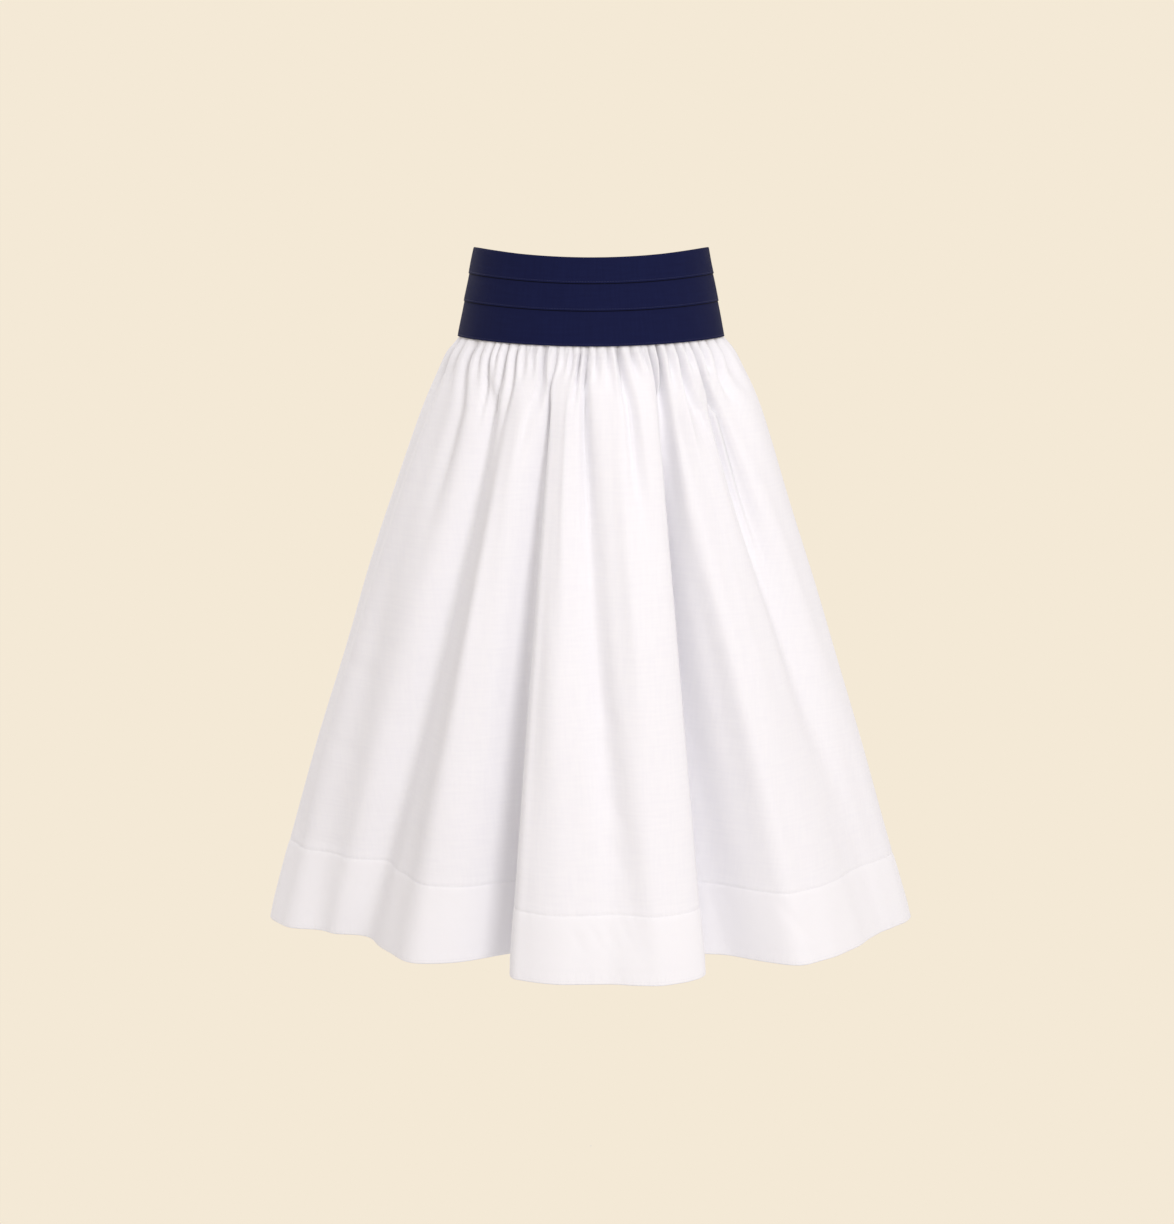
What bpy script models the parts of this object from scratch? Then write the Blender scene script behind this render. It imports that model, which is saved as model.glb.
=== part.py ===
# Gathered midi skirt with a three-tier waistband, worn and filled out with nobody in it.
# Metres, +Z up, front towards -Y. The origin is the centre of the waist opening,
# halfway down the waistband. Run it from Blender's text editor, or with
# blender --background --python part.py

import math

import bmesh
import bpy
import numpy as np
from mathutils import Matrix, Vector


MM = 0.001

# Driving sizes of the waistband
BAND_TOP_Z = 0.051          # top edge at the side seams, above the origin
BAND_HEIGHT = 0.102
BAND_TOP_HALF = (0.1363, 0.1050)      # half width, half depth of the outer face
BAND_BOTTOM_HALF = (0.1547, 0.1200)
BAND_WALL = 0.0019          # two layers of cloth and the interfacing
TIER_STEP = 0.0009          # how far a tier's lower edge stands over the next tier
FRONT_DIP = (0.0113, 0.0073)          # top and bottom edge hang lower at centre front
BACK_DIP = (0.0130, 0.0090)           # and at centre back
TIERS = (
    # name, height of the tier at the side seams
    ("upper", 0.0300),
    ("middle", 0.0315),
    ("lower", 0.0405),
)

# Driving sizes of the skirt
HEM_Z = -0.750
CLOTH = 0.0012              # wall of one layer with its gathered body
HEM_CLOTH = 0.0022          # the turned-up hem lies double
HEM_DEPTH = 0.082
SEAM_GAP = 0.0003
SECTIONS = (
    # drop below the seam, half width, half depth
    (0.000, 0.1540, 0.1190),
    (0.010, 0.1632, 0.1290),
    (0.034, 0.1768, 0.1400),
    (0.057, 0.1870, 0.1470),
    (0.105, 0.2050, 0.1560),
    (0.199, 0.2350, 0.1680),
    (0.319, 0.2715, 0.1800),
    (0.439, 0.3060, 0.1910),
    (0.564, 0.3405, 0.2030),
    (0.699, 0.3760, 0.2150),
)

# Main folds. Bearing is degrees round from the centre front, + to the right as seen
# from the front; relief is millimetres out of the plain section.
FOLDS = (
    # name, bearing at seam, middle, hem, relief near the seam, middle, hem
    ("back_centre", -180.0, -180.0, -180.0, 0.0, 9.0, 18.0),
    ("back_valley_1", -164.0, -162.0, -160.0, -5.0, -20.0, -34.0),
    ("back_ridge_1", -150.0, -148.0, -146.0, 4.0, 14.0, 24.0),
    ("back_valley_2", -134.0, -132.0, -133.0, -5.0, -16.0, -30.0),
    ("back_ridge_2", -119.0, -118.0, -117.0, 3.0, 12.0, 20.0),
    ("back_valley_3", -104.0, -104.0, -104.0, -3.0, -10.0, -20.0),
    ("side_left", -90.0, -90.0, -90.0, 1.0, 7.0, 12.0),
    ("left_hollow", -62.0, -70.0, -71.0, -4.0, -8.0, -23.0),
    ("left_lobe", -44.0, -52.0, -61.0, 4.0, -4.0, -34.0),
    ("left_valley", -36.0, -42.0, -51.0, -6.0, -20.0, -41.0),
    ("inner_left_lobe", -24.0, -29.0, -32.0, 6.0, 8.0, 2.0),
    ("inner_left_flank", -16.5, -20.0, -21.0, 0.0, -6.0, -23.0),
    ("deep_valley_left", -13.0, -13.5, -11.0, -9.0, -36.0, -66.0),
    ("centre_left_edge", -12.5, -13.0, -13.5, 3.0, 12.0, 22.0),
    ("centre_left_shoulder", -10.0, -10.0, -10.0, 7.0, 27.0, 43.0),
    ("centre_left_ridge", -8.0, -6.5, -4.0, 8.0, 31.0, 51.0),
    ("centre_valley", -5.5, -1.0, 2.0, 3.0, 24.0, 50.0),
    ("centre_right_ridge", 8.0, 8.5, 10.0, 8.0, 31.0, 59.0),
    ("centre_right_shoulder", 17.5, 16.0, 15.5, 7.0, 27.0, 47.0),
    ("centre_right_edge", 21.5, 19.5, 19.0, 3.0, 13.0, 27.0),
    ("deep_valley_right", 23.5, 20.0, 16.5, -9.0, -32.0, -56.0),
    ("inner_right_flank", 24.5, 23.0, 22.5, -7.0, -12.0, -11.0),
    ("right_valley", 26.5, 25.5, 26.0, -6.0, -13.0, -9.0),
    ("right_lobe", 34.0, 36.0, 37.0, 6.0, 13.0, 22.0),
    ("outer_right_valley", 43.0, 55.0, 64.0, -5.0, -7.0, -5.0),
    ("outer_right_lobe", 56.0, 71.0, 78.0, 3.0, 1.0, 3.0),
    ("side_right", 90.0, 90.0, 90.0, 1.0, 1.0, 9.0),
    ("back_valley_4", 105.0, 106.0, 104.0, -3.0, -12.0, -24.0),
    ("back_ridge_3", 119.0, 118.0, 120.0, 4.0, 13.0, 22.0),
    ("back_valley_5", 134.0, 131.0, 129.0, -5.0, -18.0, -32.0),
    ("back_ridge_4", 148.0, 147.0, 145.0, 4.0, 14.0, 26.0),
    ("back_valley_6", 164.0, 161.0, 161.0, -5.0, -20.0, -30.0),
)

# Gathers under the waistband: across from the centre front, depth and length,
# all in millimetres. The back has the same unevenness worked out by a rule.
FRONT_GATHERS = (
    (-151, 5, 70), (-142, 4, 50), (-130, 5, 110), (-116, 4, 60), (-101, 6, 140),
    (-86, 5, 90), (-71, 4, 60), (-55, 6, 120), (-40, 7, 150), (-24, 4, 60),
    (-8, 6, 130), (4, 4, 50), (14, 4, 70), (24, 4, 60), (34, 6, 110),
    (47, 5, 80), (62, 5, 90), (77, 7, 150), (92, 4, 60), (107, 5, 90),
    (120, 5, 120), (133, 4, 60), (144, 5, 90), (151, 4, 60),
)
BACK_GATHERS = 13           # in each back panel
BACK_UNEVEN = 0.22          # share of a gather's step that it may be off its even place
BACK_DEPTH = (5.2, 1.4)     # mean depth in millimetres, and how far it swings either way
BACK_LENGTH = (90.0, 45.0)  # and the same of the lengths
BACK_FLAT = 0.018           # no gathers this near the centre back, where the zip is
SEAM_PULL = 0.5             # how far the main folds draw the gathered cloth along the seam
SEAM_WAVE = 0.16            # share of a gather's depth left at the seam itself
GATHER_RISE = 0.012         # a gather is at its deepest this far below the seam
FLAT_FADE = 0.7             # share of the flat part beside the zip that is quite flat
SETTLE_SHARE = 0.12         # share of the skirt's length over which the folds form

# Rows of points down the cloth, as drops below the seam
ROWS = (0.000, 0.005, 0.012, 0.026, 0.046, 0.078, 0.125, 0.195, 0.285, 0.385, 0.490,
        0.699 - HEM_DEPTH - 0.003, 0.699 - HEM_DEPTH, 0.699)

# Concealed zip in the centre back seam
ZIP_BOTTOM_DROP = 0.125     # the tape ends this far below the seam, on a row of points
TAPE_DOWNS = (0.004, 0.035, 0.068, 0.1015)      # tape rows below the band's top edge
TAPE_WIDTH = 0.0125
TAPE_WALL = 0.0010
TAPE_GAP = 0.0005
SLIDER = (0.0056, 0.0026, 0.0095)     # width, thickness, height
SLIDER_DROP = 0.0105        # centre of the slider below the band's top edge
SLIDER_REST = 0.0002        # it stands this much further than a seam's gap off the band
SLIDER_BEVEL = 0.0006
EAR_WIDTH = 0.0008
EAR_SINK = 0.0004           # the ears start this deep in the slider's body
EDGE_BEVEL = 0.0002
PIN_RADIUS = 0.0005
EYE_RADIUS = 0.0014
EYE_HOLE = 0.0008
EYE_WIDTH = 0.0026
PULL_LENGTH = 0.0200
PULL_WIDTH = 0.0052
PULL_WALL = 0.0010
PULL_BEVEL = 0.0003
NECK_SHARE = 0.3            # share of the pull's length above its plate
NECK_SINK = 0.6             # the neck starts this share of the eye's radius below its centre
NECK_WALL_SHARE = 0.98

SKIRT_LENGTH = SECTIONS[-1][0]
SMALL_STEP = 1e-5


def smooth_step(value):
    """0 below 0, 1 above 1, with level ends."""
    clipped = np.clip(value, 0.0, 1.0)
    return clipped * clipped * (3.0 - 2.0 * clipped)


def spline_moments(gaps, values, closed):
    """Second derivatives at the knots of a cubic spline, one column per curve."""
    count = len(values)
    matrix = np.zeros((count, count))
    right = np.zeros_like(values)
    for knot in range(count):
        before, after = (knot - 1) % count, (knot + 1) % count
        if not closed and knot in (0, count - 1):
            matrix[knot, knot] = 1.0
            continue
        left_gap, right_gap = gaps[before], gaps[knot]
        matrix[knot, before] += left_gap
        matrix[knot, knot] += 2.0 * (left_gap + right_gap)
        matrix[knot, after] += right_gap
        rise_after = (values[after] - values[knot]) / right_gap
        rise_before = (values[knot] - values[before]) / left_gap
        right[knot] = 6.0 * (rise_after - rise_before)
    return np.linalg.solve(matrix, right)


def spline_read(knots, values, moments, at):
    """Value of the spline at each place. Knots and values include both ends."""
    piece = np.clip(np.searchsorted(knots, at, side="right") - 1, 0, len(knots) - 2)
    gap = knots[piece + 1] - knots[piece]
    up = ((at - knots[piece]) / gap)[..., None]
    down = 1.0 - up
    square = (gap ** 2)[..., None] / 6.0
    bend = (down ** 3 - down) * moments[piece] + (up ** 3 - up) * moments[piece + 1]
    return down * values[piece] + up * values[piece + 1] + square * bend


SECTION_TABLE = np.array(SECTIONS)
SECTION_MOMENTS = spline_moments(np.diff(SECTION_TABLE[:, 0]), SECTION_TABLE[:, 1:], False)


def section(drop):
    """Half width and half depth of the plain section at a drop below the seam."""
    halves = spline_read(SECTION_TABLE[:, 0], SECTION_TABLE[:, 1:], SECTION_MOMENTS, drop)
    return halves[..., 0], halves[..., 1]


def level_weights(fraction, first):
    """Quadratic weights of the three levels: first, one half and one."""
    top = (fraction - 0.5) * (fraction - 1.0) / ((first - 0.5) * (first - 1.0))
    middle = (fraction - first) * (fraction - 1.0) / ((0.5 - first) * -0.5)
    hem = (fraction - first) * (fraction - 0.5) / ((1.0 - first) * 0.5)
    return np.stack((top, middle, hem), axis=-1)


def fold_table():
    """Cloth places of the folds, and their bearings and reliefs, closed round."""
    bearings = np.array([row[1:4] for row in FOLDS])
    reliefs = np.array([row[4:7] for row in FOLDS]) * MM
    chords = np.zeros(len(FOLDS))
    for level, drop in ((1, 0.5 * SKIRT_LENGTH), (2, SKIRT_LENGTH)):
        half_width, half_depth = section(np.array([drop]))
        angle = np.radians(bearings[:, level])
        across = (half_width + reliefs[:, level]) * np.sin(angle)
        along = (half_depth + reliefs[:, level]) * np.cos(angle)
        chords += np.hypot(across - np.roll(across, -1), along - np.roll(along, -1))
    places = np.concatenate(([0.0], np.cumsum(chords) / chords.sum()))
    return places, chords / chords.sum(), bearings, reliefs


PLACES, PLACE_GAPS, BEARINGS, RELIEFS = fold_table()
# A bearing is kept as its lead over an even turn, so that its curve closes round.
LEADS = BEARINGS - (360.0 * PLACES[:-1, None] - 180.0)
LEAD_MOMENTS = spline_moments(PLACE_GAPS, LEADS, True)
RELIEF_MOMENTS = spline_moments(PLACE_GAPS, RELIEFS, True)
NAMES = [row[0] for row in FOLDS]
PANEL_ENDS = {
    "skirt_back_left": (0.0, PLACES[NAMES.index("side_left")]),
    "skirt_front": (PLACES[NAMES.index("side_left")], PLACES[NAMES.index("side_right")]),
    "skirt_back_right": (PLACES[NAMES.index("side_right")], 1.0),
}


def close_round(table):
    """The table with its first row again at the end."""
    return np.concatenate((table, table[:1]))


def ellipse_bearings():
    """Bearing against the share of the way round the seam's ellipse from the back."""
    bearing = np.radians(np.linspace(-180.0, 180.0, 1441))
    half_width, half_depth = SECTIONS[0][1:]
    points = np.stack((half_width * np.sin(bearing), half_depth * np.cos(bearing)), axis=1)
    steps = np.hypot(*np.diff(points, axis=0).T)
    share = np.concatenate(([0.0], np.cumsum(steps))) / steps.sum()
    return share, np.degrees(bearing)


SEAM_SHARE, SEAM_BEARING = ellipse_bearings()


def seam_table():
    """Bearings at the seam of the folds' cloth places, closed round.

    They lie partway from evenly gathered cloth to where each fold starts."""
    left, right = PANEL_ENDS["skirt_front"]
    share = np.interp(PLACES, (0.0, left, right, 1.0), (0.0, 0.25, 0.75, 1.0))
    even = np.interp(share, SEAM_SHARE, SEAM_BEARING)
    starts = np.append(BEARINGS[:, 0], 180.0)
    return even + (starts - even) * SEAM_PULL


SEAM_TABLE = seam_table()


def seam_bearing(place):
    """Bearing of a cloth place at the seam."""
    return np.interp(place, PLACES, SEAM_TABLE)


def seam_place(bearing):
    """Cloth place of a bearing at the seam."""
    return np.interp(bearing, SEAM_TABLE, PLACES)


def gather_table():
    """Cloth place, depth and length of each gather, in order round the cloth."""
    rows = []
    for across, depth, length in FRONT_GATHERS:
        bearing = math.degrees(math.asin(across * MM / SECTIONS[0][1]))
        rows.append((float(seam_place(bearing)), depth * MM, length * MM))
    flat = math.degrees(BACK_FLAT / SECTIONS[0][1])
    for side in (-1, 1):
        for index in range(BACK_GATHERS):
            uneven = BACK_UNEVEN * math.sin(2.4 * index + side)
            step = (index + 0.5 + uneven) / BACK_GATHERS
            bearing = side * (90.0 + (90.0 - flat) * step)
            depth = BACK_DEPTH[0] + BACK_DEPTH[1] * math.sin(3.9 * index + 2.0 * side)
            length = BACK_LENGTH[0] + BACK_LENGTH[1] * math.sin(2.2 * index - side)
            rows.append((float(seam_place(bearing)), depth * MM, length * MM))
    return np.array(sorted(rows))


GATHERS = gather_table()
GATHER_PLACES = np.concatenate((GATHERS[-1:, 0] - 1.0, GATHERS[:, 0], GATHERS[:1, 0] + 1.0))


def gather_relief(place, drop):
    """Inward relief of the gathers: a raised cosine across each, fading down."""
    phase = np.interp(place, GATHER_PLACES, np.arange(len(GATHER_PLACES)) - 1.0)
    nearest = np.rint(phase)
    index = nearest.astype(int) % len(GATHERS)
    wave = np.cos(math.pi * (phase - nearest)) ** 2
    rise = SEAM_WAVE + (1.0 - SEAM_WAVE) * smooth_step(drop / GATHER_RISE)
    fade = 1.0 - smooth_step((drop - GATHER_RISE) / (GATHERS[index, 2] - GATHER_RISE))
    bearing = np.abs(seam_bearing(place))
    flat = math.degrees(BACK_FLAT / SECTIONS[0][1])
    clear = smooth_step((180.0 - bearing) / flat - FLAT_FADE)
    return wave * GATHERS[index, 1] * rise * fade * clear


def band_dip(bearing, share):
    """How far the contoured band hangs below its height at the sides.

    The share is 0 at its top edge and 1 at its bottom edge."""
    cosine = np.cos(np.radians(bearing))
    front = FRONT_DIP[0] + (FRONT_DIP[1] - FRONT_DIP[0]) * share
    back = BACK_DIP[0] + (BACK_DIP[1] - BACK_DIP[0]) * share
    return np.where(cosine > 0.0, front, back) * cosine ** 2


def skirt_points(place, drop):
    """Outer face of the skirt at a cloth place (0 to 1 round) and a drop."""
    place, drop = np.broadcast_arrays(np.asarray(place, float), np.asarray(drop, float))
    around = np.mod(place, 1.0)
    around = np.where((around == 0.0) & (place > 0.5), 1.0, around)
    fraction = drop / SKIRT_LENGTH
    leads = spline_read(PLACES, close_round(LEADS), close_round(LEAD_MOMENTS), around)
    reliefs = spline_read(PLACES, close_round(RELIEFS), close_round(RELIEF_MOMENTS), around)
    folded = 360.0 * around - 180.0 + (leads * level_weights(fraction, 0.0)).sum(axis=-1)
    settled = smooth_step(fraction / SETTLE_SHARE)
    at_seam = seam_bearing(around)
    bearing = at_seam + (folded - at_seam) * settled
    relief = (reliefs * level_weights(fraction, SETTLE_SHARE)).sum(axis=-1) * settled
    relief = relief - gather_relief(around, drop)
    half_width, half_depth = section(drop)
    sine, cosine = np.sin(np.radians(bearing)), np.cos(np.radians(bearing))
    out_x, out_y = half_depth * sine, -half_width * cosine
    length = np.hypot(out_x, out_y)
    top = BAND_TOP_Z - BAND_HEIGHT - SEAM_GAP - band_dip(at_seam, 1.0)
    return np.stack((
        half_width * sine + relief * out_x / length,
        -half_depth * cosine + relief * out_y / length,
        top + (HEM_Z - top) * fraction,
    ), axis=-1)


def skirt_normals(place, drop):
    """Outward directions of the outer face."""
    low = np.clip(drop - SMALL_STEP, 0.0, SKIRT_LENGTH)
    high = np.clip(drop + SMALL_STEP, 0.0, SKIRT_LENGTH)
    round_step = skirt_points(place + SMALL_STEP, drop) - skirt_points(place - SMALL_STEP, drop)
    down_step = skirt_points(place, high) - skirt_points(place, low)
    normal = np.cross(down_step, round_step)
    return normal / np.linalg.norm(normal, axis=-1, keepdims=True)


def clear_scene():
    for existing in list(bpy.data.objects):
        bpy.data.objects.remove(existing, do_unlink=True)


def material(name, color, roughness, metallic=0.0):
    """Principled material from a linear colour."""
    made = bpy.data.materials.new(name)
    made.use_nodes = True
    shader = made.node_tree.nodes["Principled BSDF"]
    shader.inputs["Base Color"].default_value = (*color, 1.0)
    shader.inputs["Roughness"].default_value = roughness
    shader.inputs["Metallic"].default_value = metallic
    made.diffuse_color = (*color, 1.0)
    return made


def place_object(name, mesh, finish):
    made = bpy.data.objects.new(name, mesh)
    made.data.materials.append(finish)
    bpy.context.scene.collection.objects.link(made)
    return made


def wall_object(name, outer, inner, finish):
    """Closed wall between two grids of points, rows down and columns round."""
    rows, columns = outer.shape[:2]
    points = np.concatenate((outer.reshape(-1, 3), inner.reshape(-1, 3)))
    inside = rows * columns
    faces = []
    for row in range(rows - 1):
        for column in range(columns - 1):
            corner = row * columns + column
            quad = (corner, corner + columns, corner + columns + 1, corner + 1)
            faces.append(quad)
            faces.append(tuple(inside + point for point in reversed(quad)))
    for column in range(columns - 1):
        first, last = column, (rows - 1) * columns + column
        faces.append((first, first + 1, inside + first + 1, inside + first))
        faces.append((last + 1, last, inside + last, inside + last + 1))
    for row in range(rows - 1):
        first, last = row * columns, row * columns + columns - 1
        faces.append((first + columns, first, inside + first, inside + first + columns))
        faces.append((last, last + columns, inside + last + columns, inside + last))
    mesh = bpy.data.meshes.new(name)
    mesh.from_pydata(points.tolist(), [], faces)
    mesh.validate()
    mesh.shade_smooth()
    mesh.set_sharp_from_angle(angle=math.radians(50.0))
    return place_object(name, mesh, finish)


def draw_in_ends(outer, inner):
    """Moves both end columns in by half the gap that a seam keeps."""
    for end, beside in ((0, 1), (-1, -2)):
        along = outer[:, beside] - outer[:, end]
        along /= np.linalg.norm(along, axis=1, keepdims=True)
        outer[:, end] += along * SEAM_GAP / 2.0
        inner[:, end] += along * SEAM_GAP / 2.0


def panel_columns(start, end):
    """Cloth places of a panel's columns: four to each gather, and both seams."""
    inside = GATHERS[(GATHERS[:, 0] > start) & (GATHERS[:, 0] < end), 0]
    stops = np.concatenate(([start], inside, [end]))
    shares = np.linspace(0.0, 1.0, 4, endpoint=False)
    columns = [low + (high - low) * shares for low, high in zip(stops[:-1], stops[1:])]
    return np.concatenate(columns + [[end]])


def skirt_panel(name, finish):
    """One panel of the skirt, with the turned-up hem inside its lower edge."""
    start, end = PANEL_ENDS[name]
    place, drop = np.meshgrid(panel_columns(start, end), np.array(ROWS))
    outer = skirt_points(place, drop)
    wall = np.where(drop > SKIRT_LENGTH - HEM_DEPTH - SMALL_STEP, HEM_CLOTH, CLOTH)
    inner = outer - skirt_normals(place, drop) * wall[..., None]
    inner[0, :, 2] = outer[0, :, 2]
    inner[-1, :, 2] = outer[-1, :, 2]
    draw_in_ends(outer, inner)
    return wall_object(name, outer, inner, finish)


def band_ring(bearing, down, outward):
    """Points of the waistband at a distance down from its top edge."""
    share = down / BAND_HEIGHT
    half_width = BAND_TOP_HALF[0] + (BAND_BOTTOM_HALF[0] - BAND_TOP_HALF[0]) * share + outward
    half_depth = BAND_TOP_HALF[1] + (BAND_BOTTOM_HALF[1] - BAND_TOP_HALF[1]) * share + outward
    angle = np.radians(bearing)
    return np.stack((
        half_width * np.sin(angle),
        -half_depth * np.cos(angle),
        BAND_TOP_Z - down - band_dip(bearing, share),
    ), axis=-1)


def band_tier(name, bearings, top, height, finish):
    """One tier of the waistband over a stretch of bearings."""
    bottom = top + height
    first = top + (SEAM_GAP if top > 0.0 else 0.0)
    outer = np.stack((band_ring(bearings, first, 0.0), band_ring(bearings, bottom, TIER_STEP)))
    inner = np.stack([band_ring(bearings, down, -BAND_WALL) for down in (first, bottom)])
    draw_in_ends(outer, inner)
    return wall_object(name, outer, inner, finish)


def waistband(finish):
    """Front, back left and back right of each of the three lapped tiers."""
    pieces = (
        ("front", np.linspace(-90.0, 90.0, 41)),
        ("back_left", np.linspace(-180.0, -90.0, 21)),
        ("back_right", np.linspace(90.0, 180.0, 21)),
    )
    top = 0.0
    for tier, height in TIERS:
        for side, bearings in pieces:
            band_tier(f"waistband_{side}_{tier}", bearings, top, height, finish)
        top += height


def tape_face(side):
    """Inner face of the back beside its centre seam, from the band's top to the zip's
    end: rows down, and three points across the tape from the seam."""
    across = np.array([SEAM_GAP / 2.0, TAPE_WIDTH / 2.0, TAPE_WIDTH])
    bearing = side * (180.0 - np.degrees(across / BAND_TOP_HALF[0]))
    rows = [band_ring(bearing, down, -BAND_WALL) for down in TAPE_DOWNS]
    seam = 1.0 if side > 0 else 0.0
    for drop in [row for row in ROWS if SMALL_STEP < row <= ZIP_BOTTOM_DROP]:
        step = skirt_points([seam, seam - side * 0.001], drop)
        places = seam - side * 0.001 * across / np.linalg.norm(step[1] - step[0])
        drops = np.full(3, drop)
        rows.append(skirt_points(places, drops) - skirt_normals(places, drops) * CLOTH)
    return np.array(rows)


def zip_tape(name, side, finish):
    """Half of the zip's tape, on the inner face beside the centre back seam."""
    face = tape_face(side)
    down = np.gradient(face, axis=0)
    along = np.gradient(face, axis=1)
    inward = np.cross(down, along) * side
    inward /= np.linalg.norm(inward, axis=-1, keepdims=True)
    outer = face + inward * TAPE_GAP
    inner = outer + inward * TAPE_WALL
    for layer in (outer, inner):
        layer[:, 0, 0] = side * SEAM_GAP / 2.0
    if side > 0:
        outer, inner = outer[:, ::-1], inner[:, ::-1]
    return wall_object(name, outer, inner, finish)


def block(size, centre, bevel):
    """Bevelled block as a bmesh."""
    shape = bmesh.new()
    bmesh.ops.create_cube(shape, size=1.0)
    bmesh.ops.scale(shape, vec=Vector(size), verts=shape.verts)
    bmesh.ops.bevel(shape, geom=shape.edges[:], offset=bevel, segments=2, profile=0.5,
                    affect="EDGES", clamp_overlap=True)
    bmesh.ops.translate(shape, vec=Vector(centre), verts=shape.verts)
    return shape


def rod(radius, length, centre, sides):
    """Closed cylinder along X as a bmesh."""
    shape = bmesh.new()
    bmesh.ops.create_cone(shape, cap_ends=True, segments=sides, radius1=radius,
                          radius2=radius, depth=length,
                          matrix=Matrix.Rotation(math.radians(90.0), 4, "Y"))
    bmesh.ops.translate(shape, vec=Vector(centre), verts=shape.verts)
    return shape


def helper(name, shape):
    """Guide object for a Boolean, left out of the part."""
    mesh = bpy.data.meshes.new(name)
    shape.to_mesh(mesh)
    shape.free()
    made = bpy.data.objects.new(name, mesh)
    made.hide_render = True
    made.display_type = "WIRE"
    bpy.context.scene.collection.objects.link(made)
    return made


def combined(name, shape, steps, finish):
    """Object from a bmesh and a list of Boolean steps on it."""
    mesh = bpy.data.meshes.new(name)
    shape.to_mesh(mesh)
    shape.free()
    made = place_object(name, mesh, finish)
    for index, (operation, other) in enumerate(steps):
        modifier = made.modifiers.new(f"{operation.lower()}_{index}", "BOOLEAN")
        modifier.operation = operation
        modifier.solver = "EXACT"
        modifier.object = helper(f"{name}_guide_{index}", other)
    return made


def slider_place():
    """Centre of the slider's back face, its tilt and the height of its top edge."""
    upper = band_ring(np.array([180.0]), SLIDER_DROP - SLIDER[2] / 2.0, 0.0)[0]
    lower = band_ring(np.array([180.0]), SLIDER_DROP + SLIDER[2] / 2.0, TIER_STEP)[0]
    tilt = math.atan2(lower[1] - upper[1], upper[2] - lower[2])
    middle = (upper + lower) / 2.0
    return Vector((0.0, middle[1] + SEAM_GAP + SLIDER_REST, middle[2])), tilt


def pull_axis():
    """Centre of the pin that the pull hangs on."""
    centre, tilt = slider_place()
    out = SLIDER[1] + EYE_RADIUS + SEAM_GAP
    return centre + Matrix.Rotation(tilt, 3, "X") @ Vector((0.0, out, 0.0))


def zip_slider(finish):
    """Slider body with two ears and the pin between them."""
    width, thick, height = SLIDER
    centre, tilt = slider_place()
    ear_height = EYE_RADIUS * 2.0
    ear_reach = EYE_RADIUS * 2.0 + SEAM_GAP
    ear_x = EYE_WIDTH / 2.0 + SEAM_GAP + EAR_WIDTH / 2.0
    body = block((width, thick, height), (0.0, thick / 2.0, 0.0), SLIDER_BEVEL)
    axis_y = thick + EYE_RADIUS + SEAM_GAP
    steps = []
    for side in (-1, 1):
        middle = (side * ear_x, thick + ear_reach / 2.0 - EAR_SINK, 0.0)
        steps.append(("UNION", block((EAR_WIDTH, ear_reach, ear_height), middle,
                                     EDGE_BEVEL)))
    steps.append(("UNION", rod(PIN_RADIUS, ear_x * 2.0, (0.0, axis_y, 0.0), 12)))
    made = combined("zip_slider", body, steps, finish)
    for shape in [made] + [step.object for step in made.modifiers]:
        shape.matrix_world = Matrix.Translation(centre) @ Matrix.Rotation(tilt, 4, "X")
    return made


def zip_pull(finish):
    """Flat pull with an eye at its top, hanging on the slider's pin."""
    neck = PULL_LENGTH * NECK_SHARE
    plate = block((PULL_WIDTH, PULL_WALL, PULL_LENGTH - neck),
                  (0.0, 0.0, -neck - (PULL_LENGTH - neck) / 2.0), PULL_BEVEL)
    steps = (
        ("UNION", block((EYE_WIDTH, PULL_WALL * NECK_WALL_SHARE, neck),
                        (0.0, 0.0, -EYE_RADIUS * NECK_SINK - neck / 2.0), EDGE_BEVEL)),
        ("UNION", rod(EYE_RADIUS, EYE_WIDTH, (0.0, 0.0, 0.0), 16)),
        ("DIFFERENCE", rod(EYE_HOLE, EYE_WIDTH * 2.0, (0.0, 0.0, 0.0), 12)),
    )
    made = combined("zip_pull", plate, steps, finish)
    axis = pull_axis()
    for shape in [made] + [step.object for step in made.modifiers]:
        shape.location = axis
    return made


def build():
    clear_scene()
    cotton = material("white_cotton", (0.83, 0.81, 0.80), 0.85)
    navy = material("navy_cotton", (0.014, 0.017, 0.050), 0.75)
    tape = material("zip_tape", (0.80, 0.79, 0.78), 0.8)
    nickel = material("nickel", (0.66, 0.64, 0.60), 0.3, 1.0)
    waistband(navy)
    for name in PANEL_ENDS:
        skirt_panel(name, cotton)
    zip_tape("zip_tape_left", -1, tape)
    zip_tape("zip_tape_right", 1, tape)
    zip_slider(nickel)
    zip_pull(nickel)


build()
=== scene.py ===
import math

import bpy
import numpy as np
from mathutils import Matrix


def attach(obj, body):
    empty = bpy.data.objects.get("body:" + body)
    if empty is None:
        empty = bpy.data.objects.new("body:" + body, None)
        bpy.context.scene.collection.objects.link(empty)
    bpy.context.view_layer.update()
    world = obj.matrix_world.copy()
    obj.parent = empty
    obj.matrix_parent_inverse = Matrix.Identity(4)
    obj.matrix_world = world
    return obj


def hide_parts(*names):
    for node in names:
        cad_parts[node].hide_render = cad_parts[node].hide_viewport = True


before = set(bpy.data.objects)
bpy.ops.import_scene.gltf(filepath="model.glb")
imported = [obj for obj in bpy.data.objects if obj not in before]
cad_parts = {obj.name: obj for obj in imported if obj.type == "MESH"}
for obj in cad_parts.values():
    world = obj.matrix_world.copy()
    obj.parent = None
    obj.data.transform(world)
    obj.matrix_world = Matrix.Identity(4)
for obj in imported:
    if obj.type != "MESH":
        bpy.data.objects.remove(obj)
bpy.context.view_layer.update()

mm = 0.001
print("stage: frame loaded")


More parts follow.
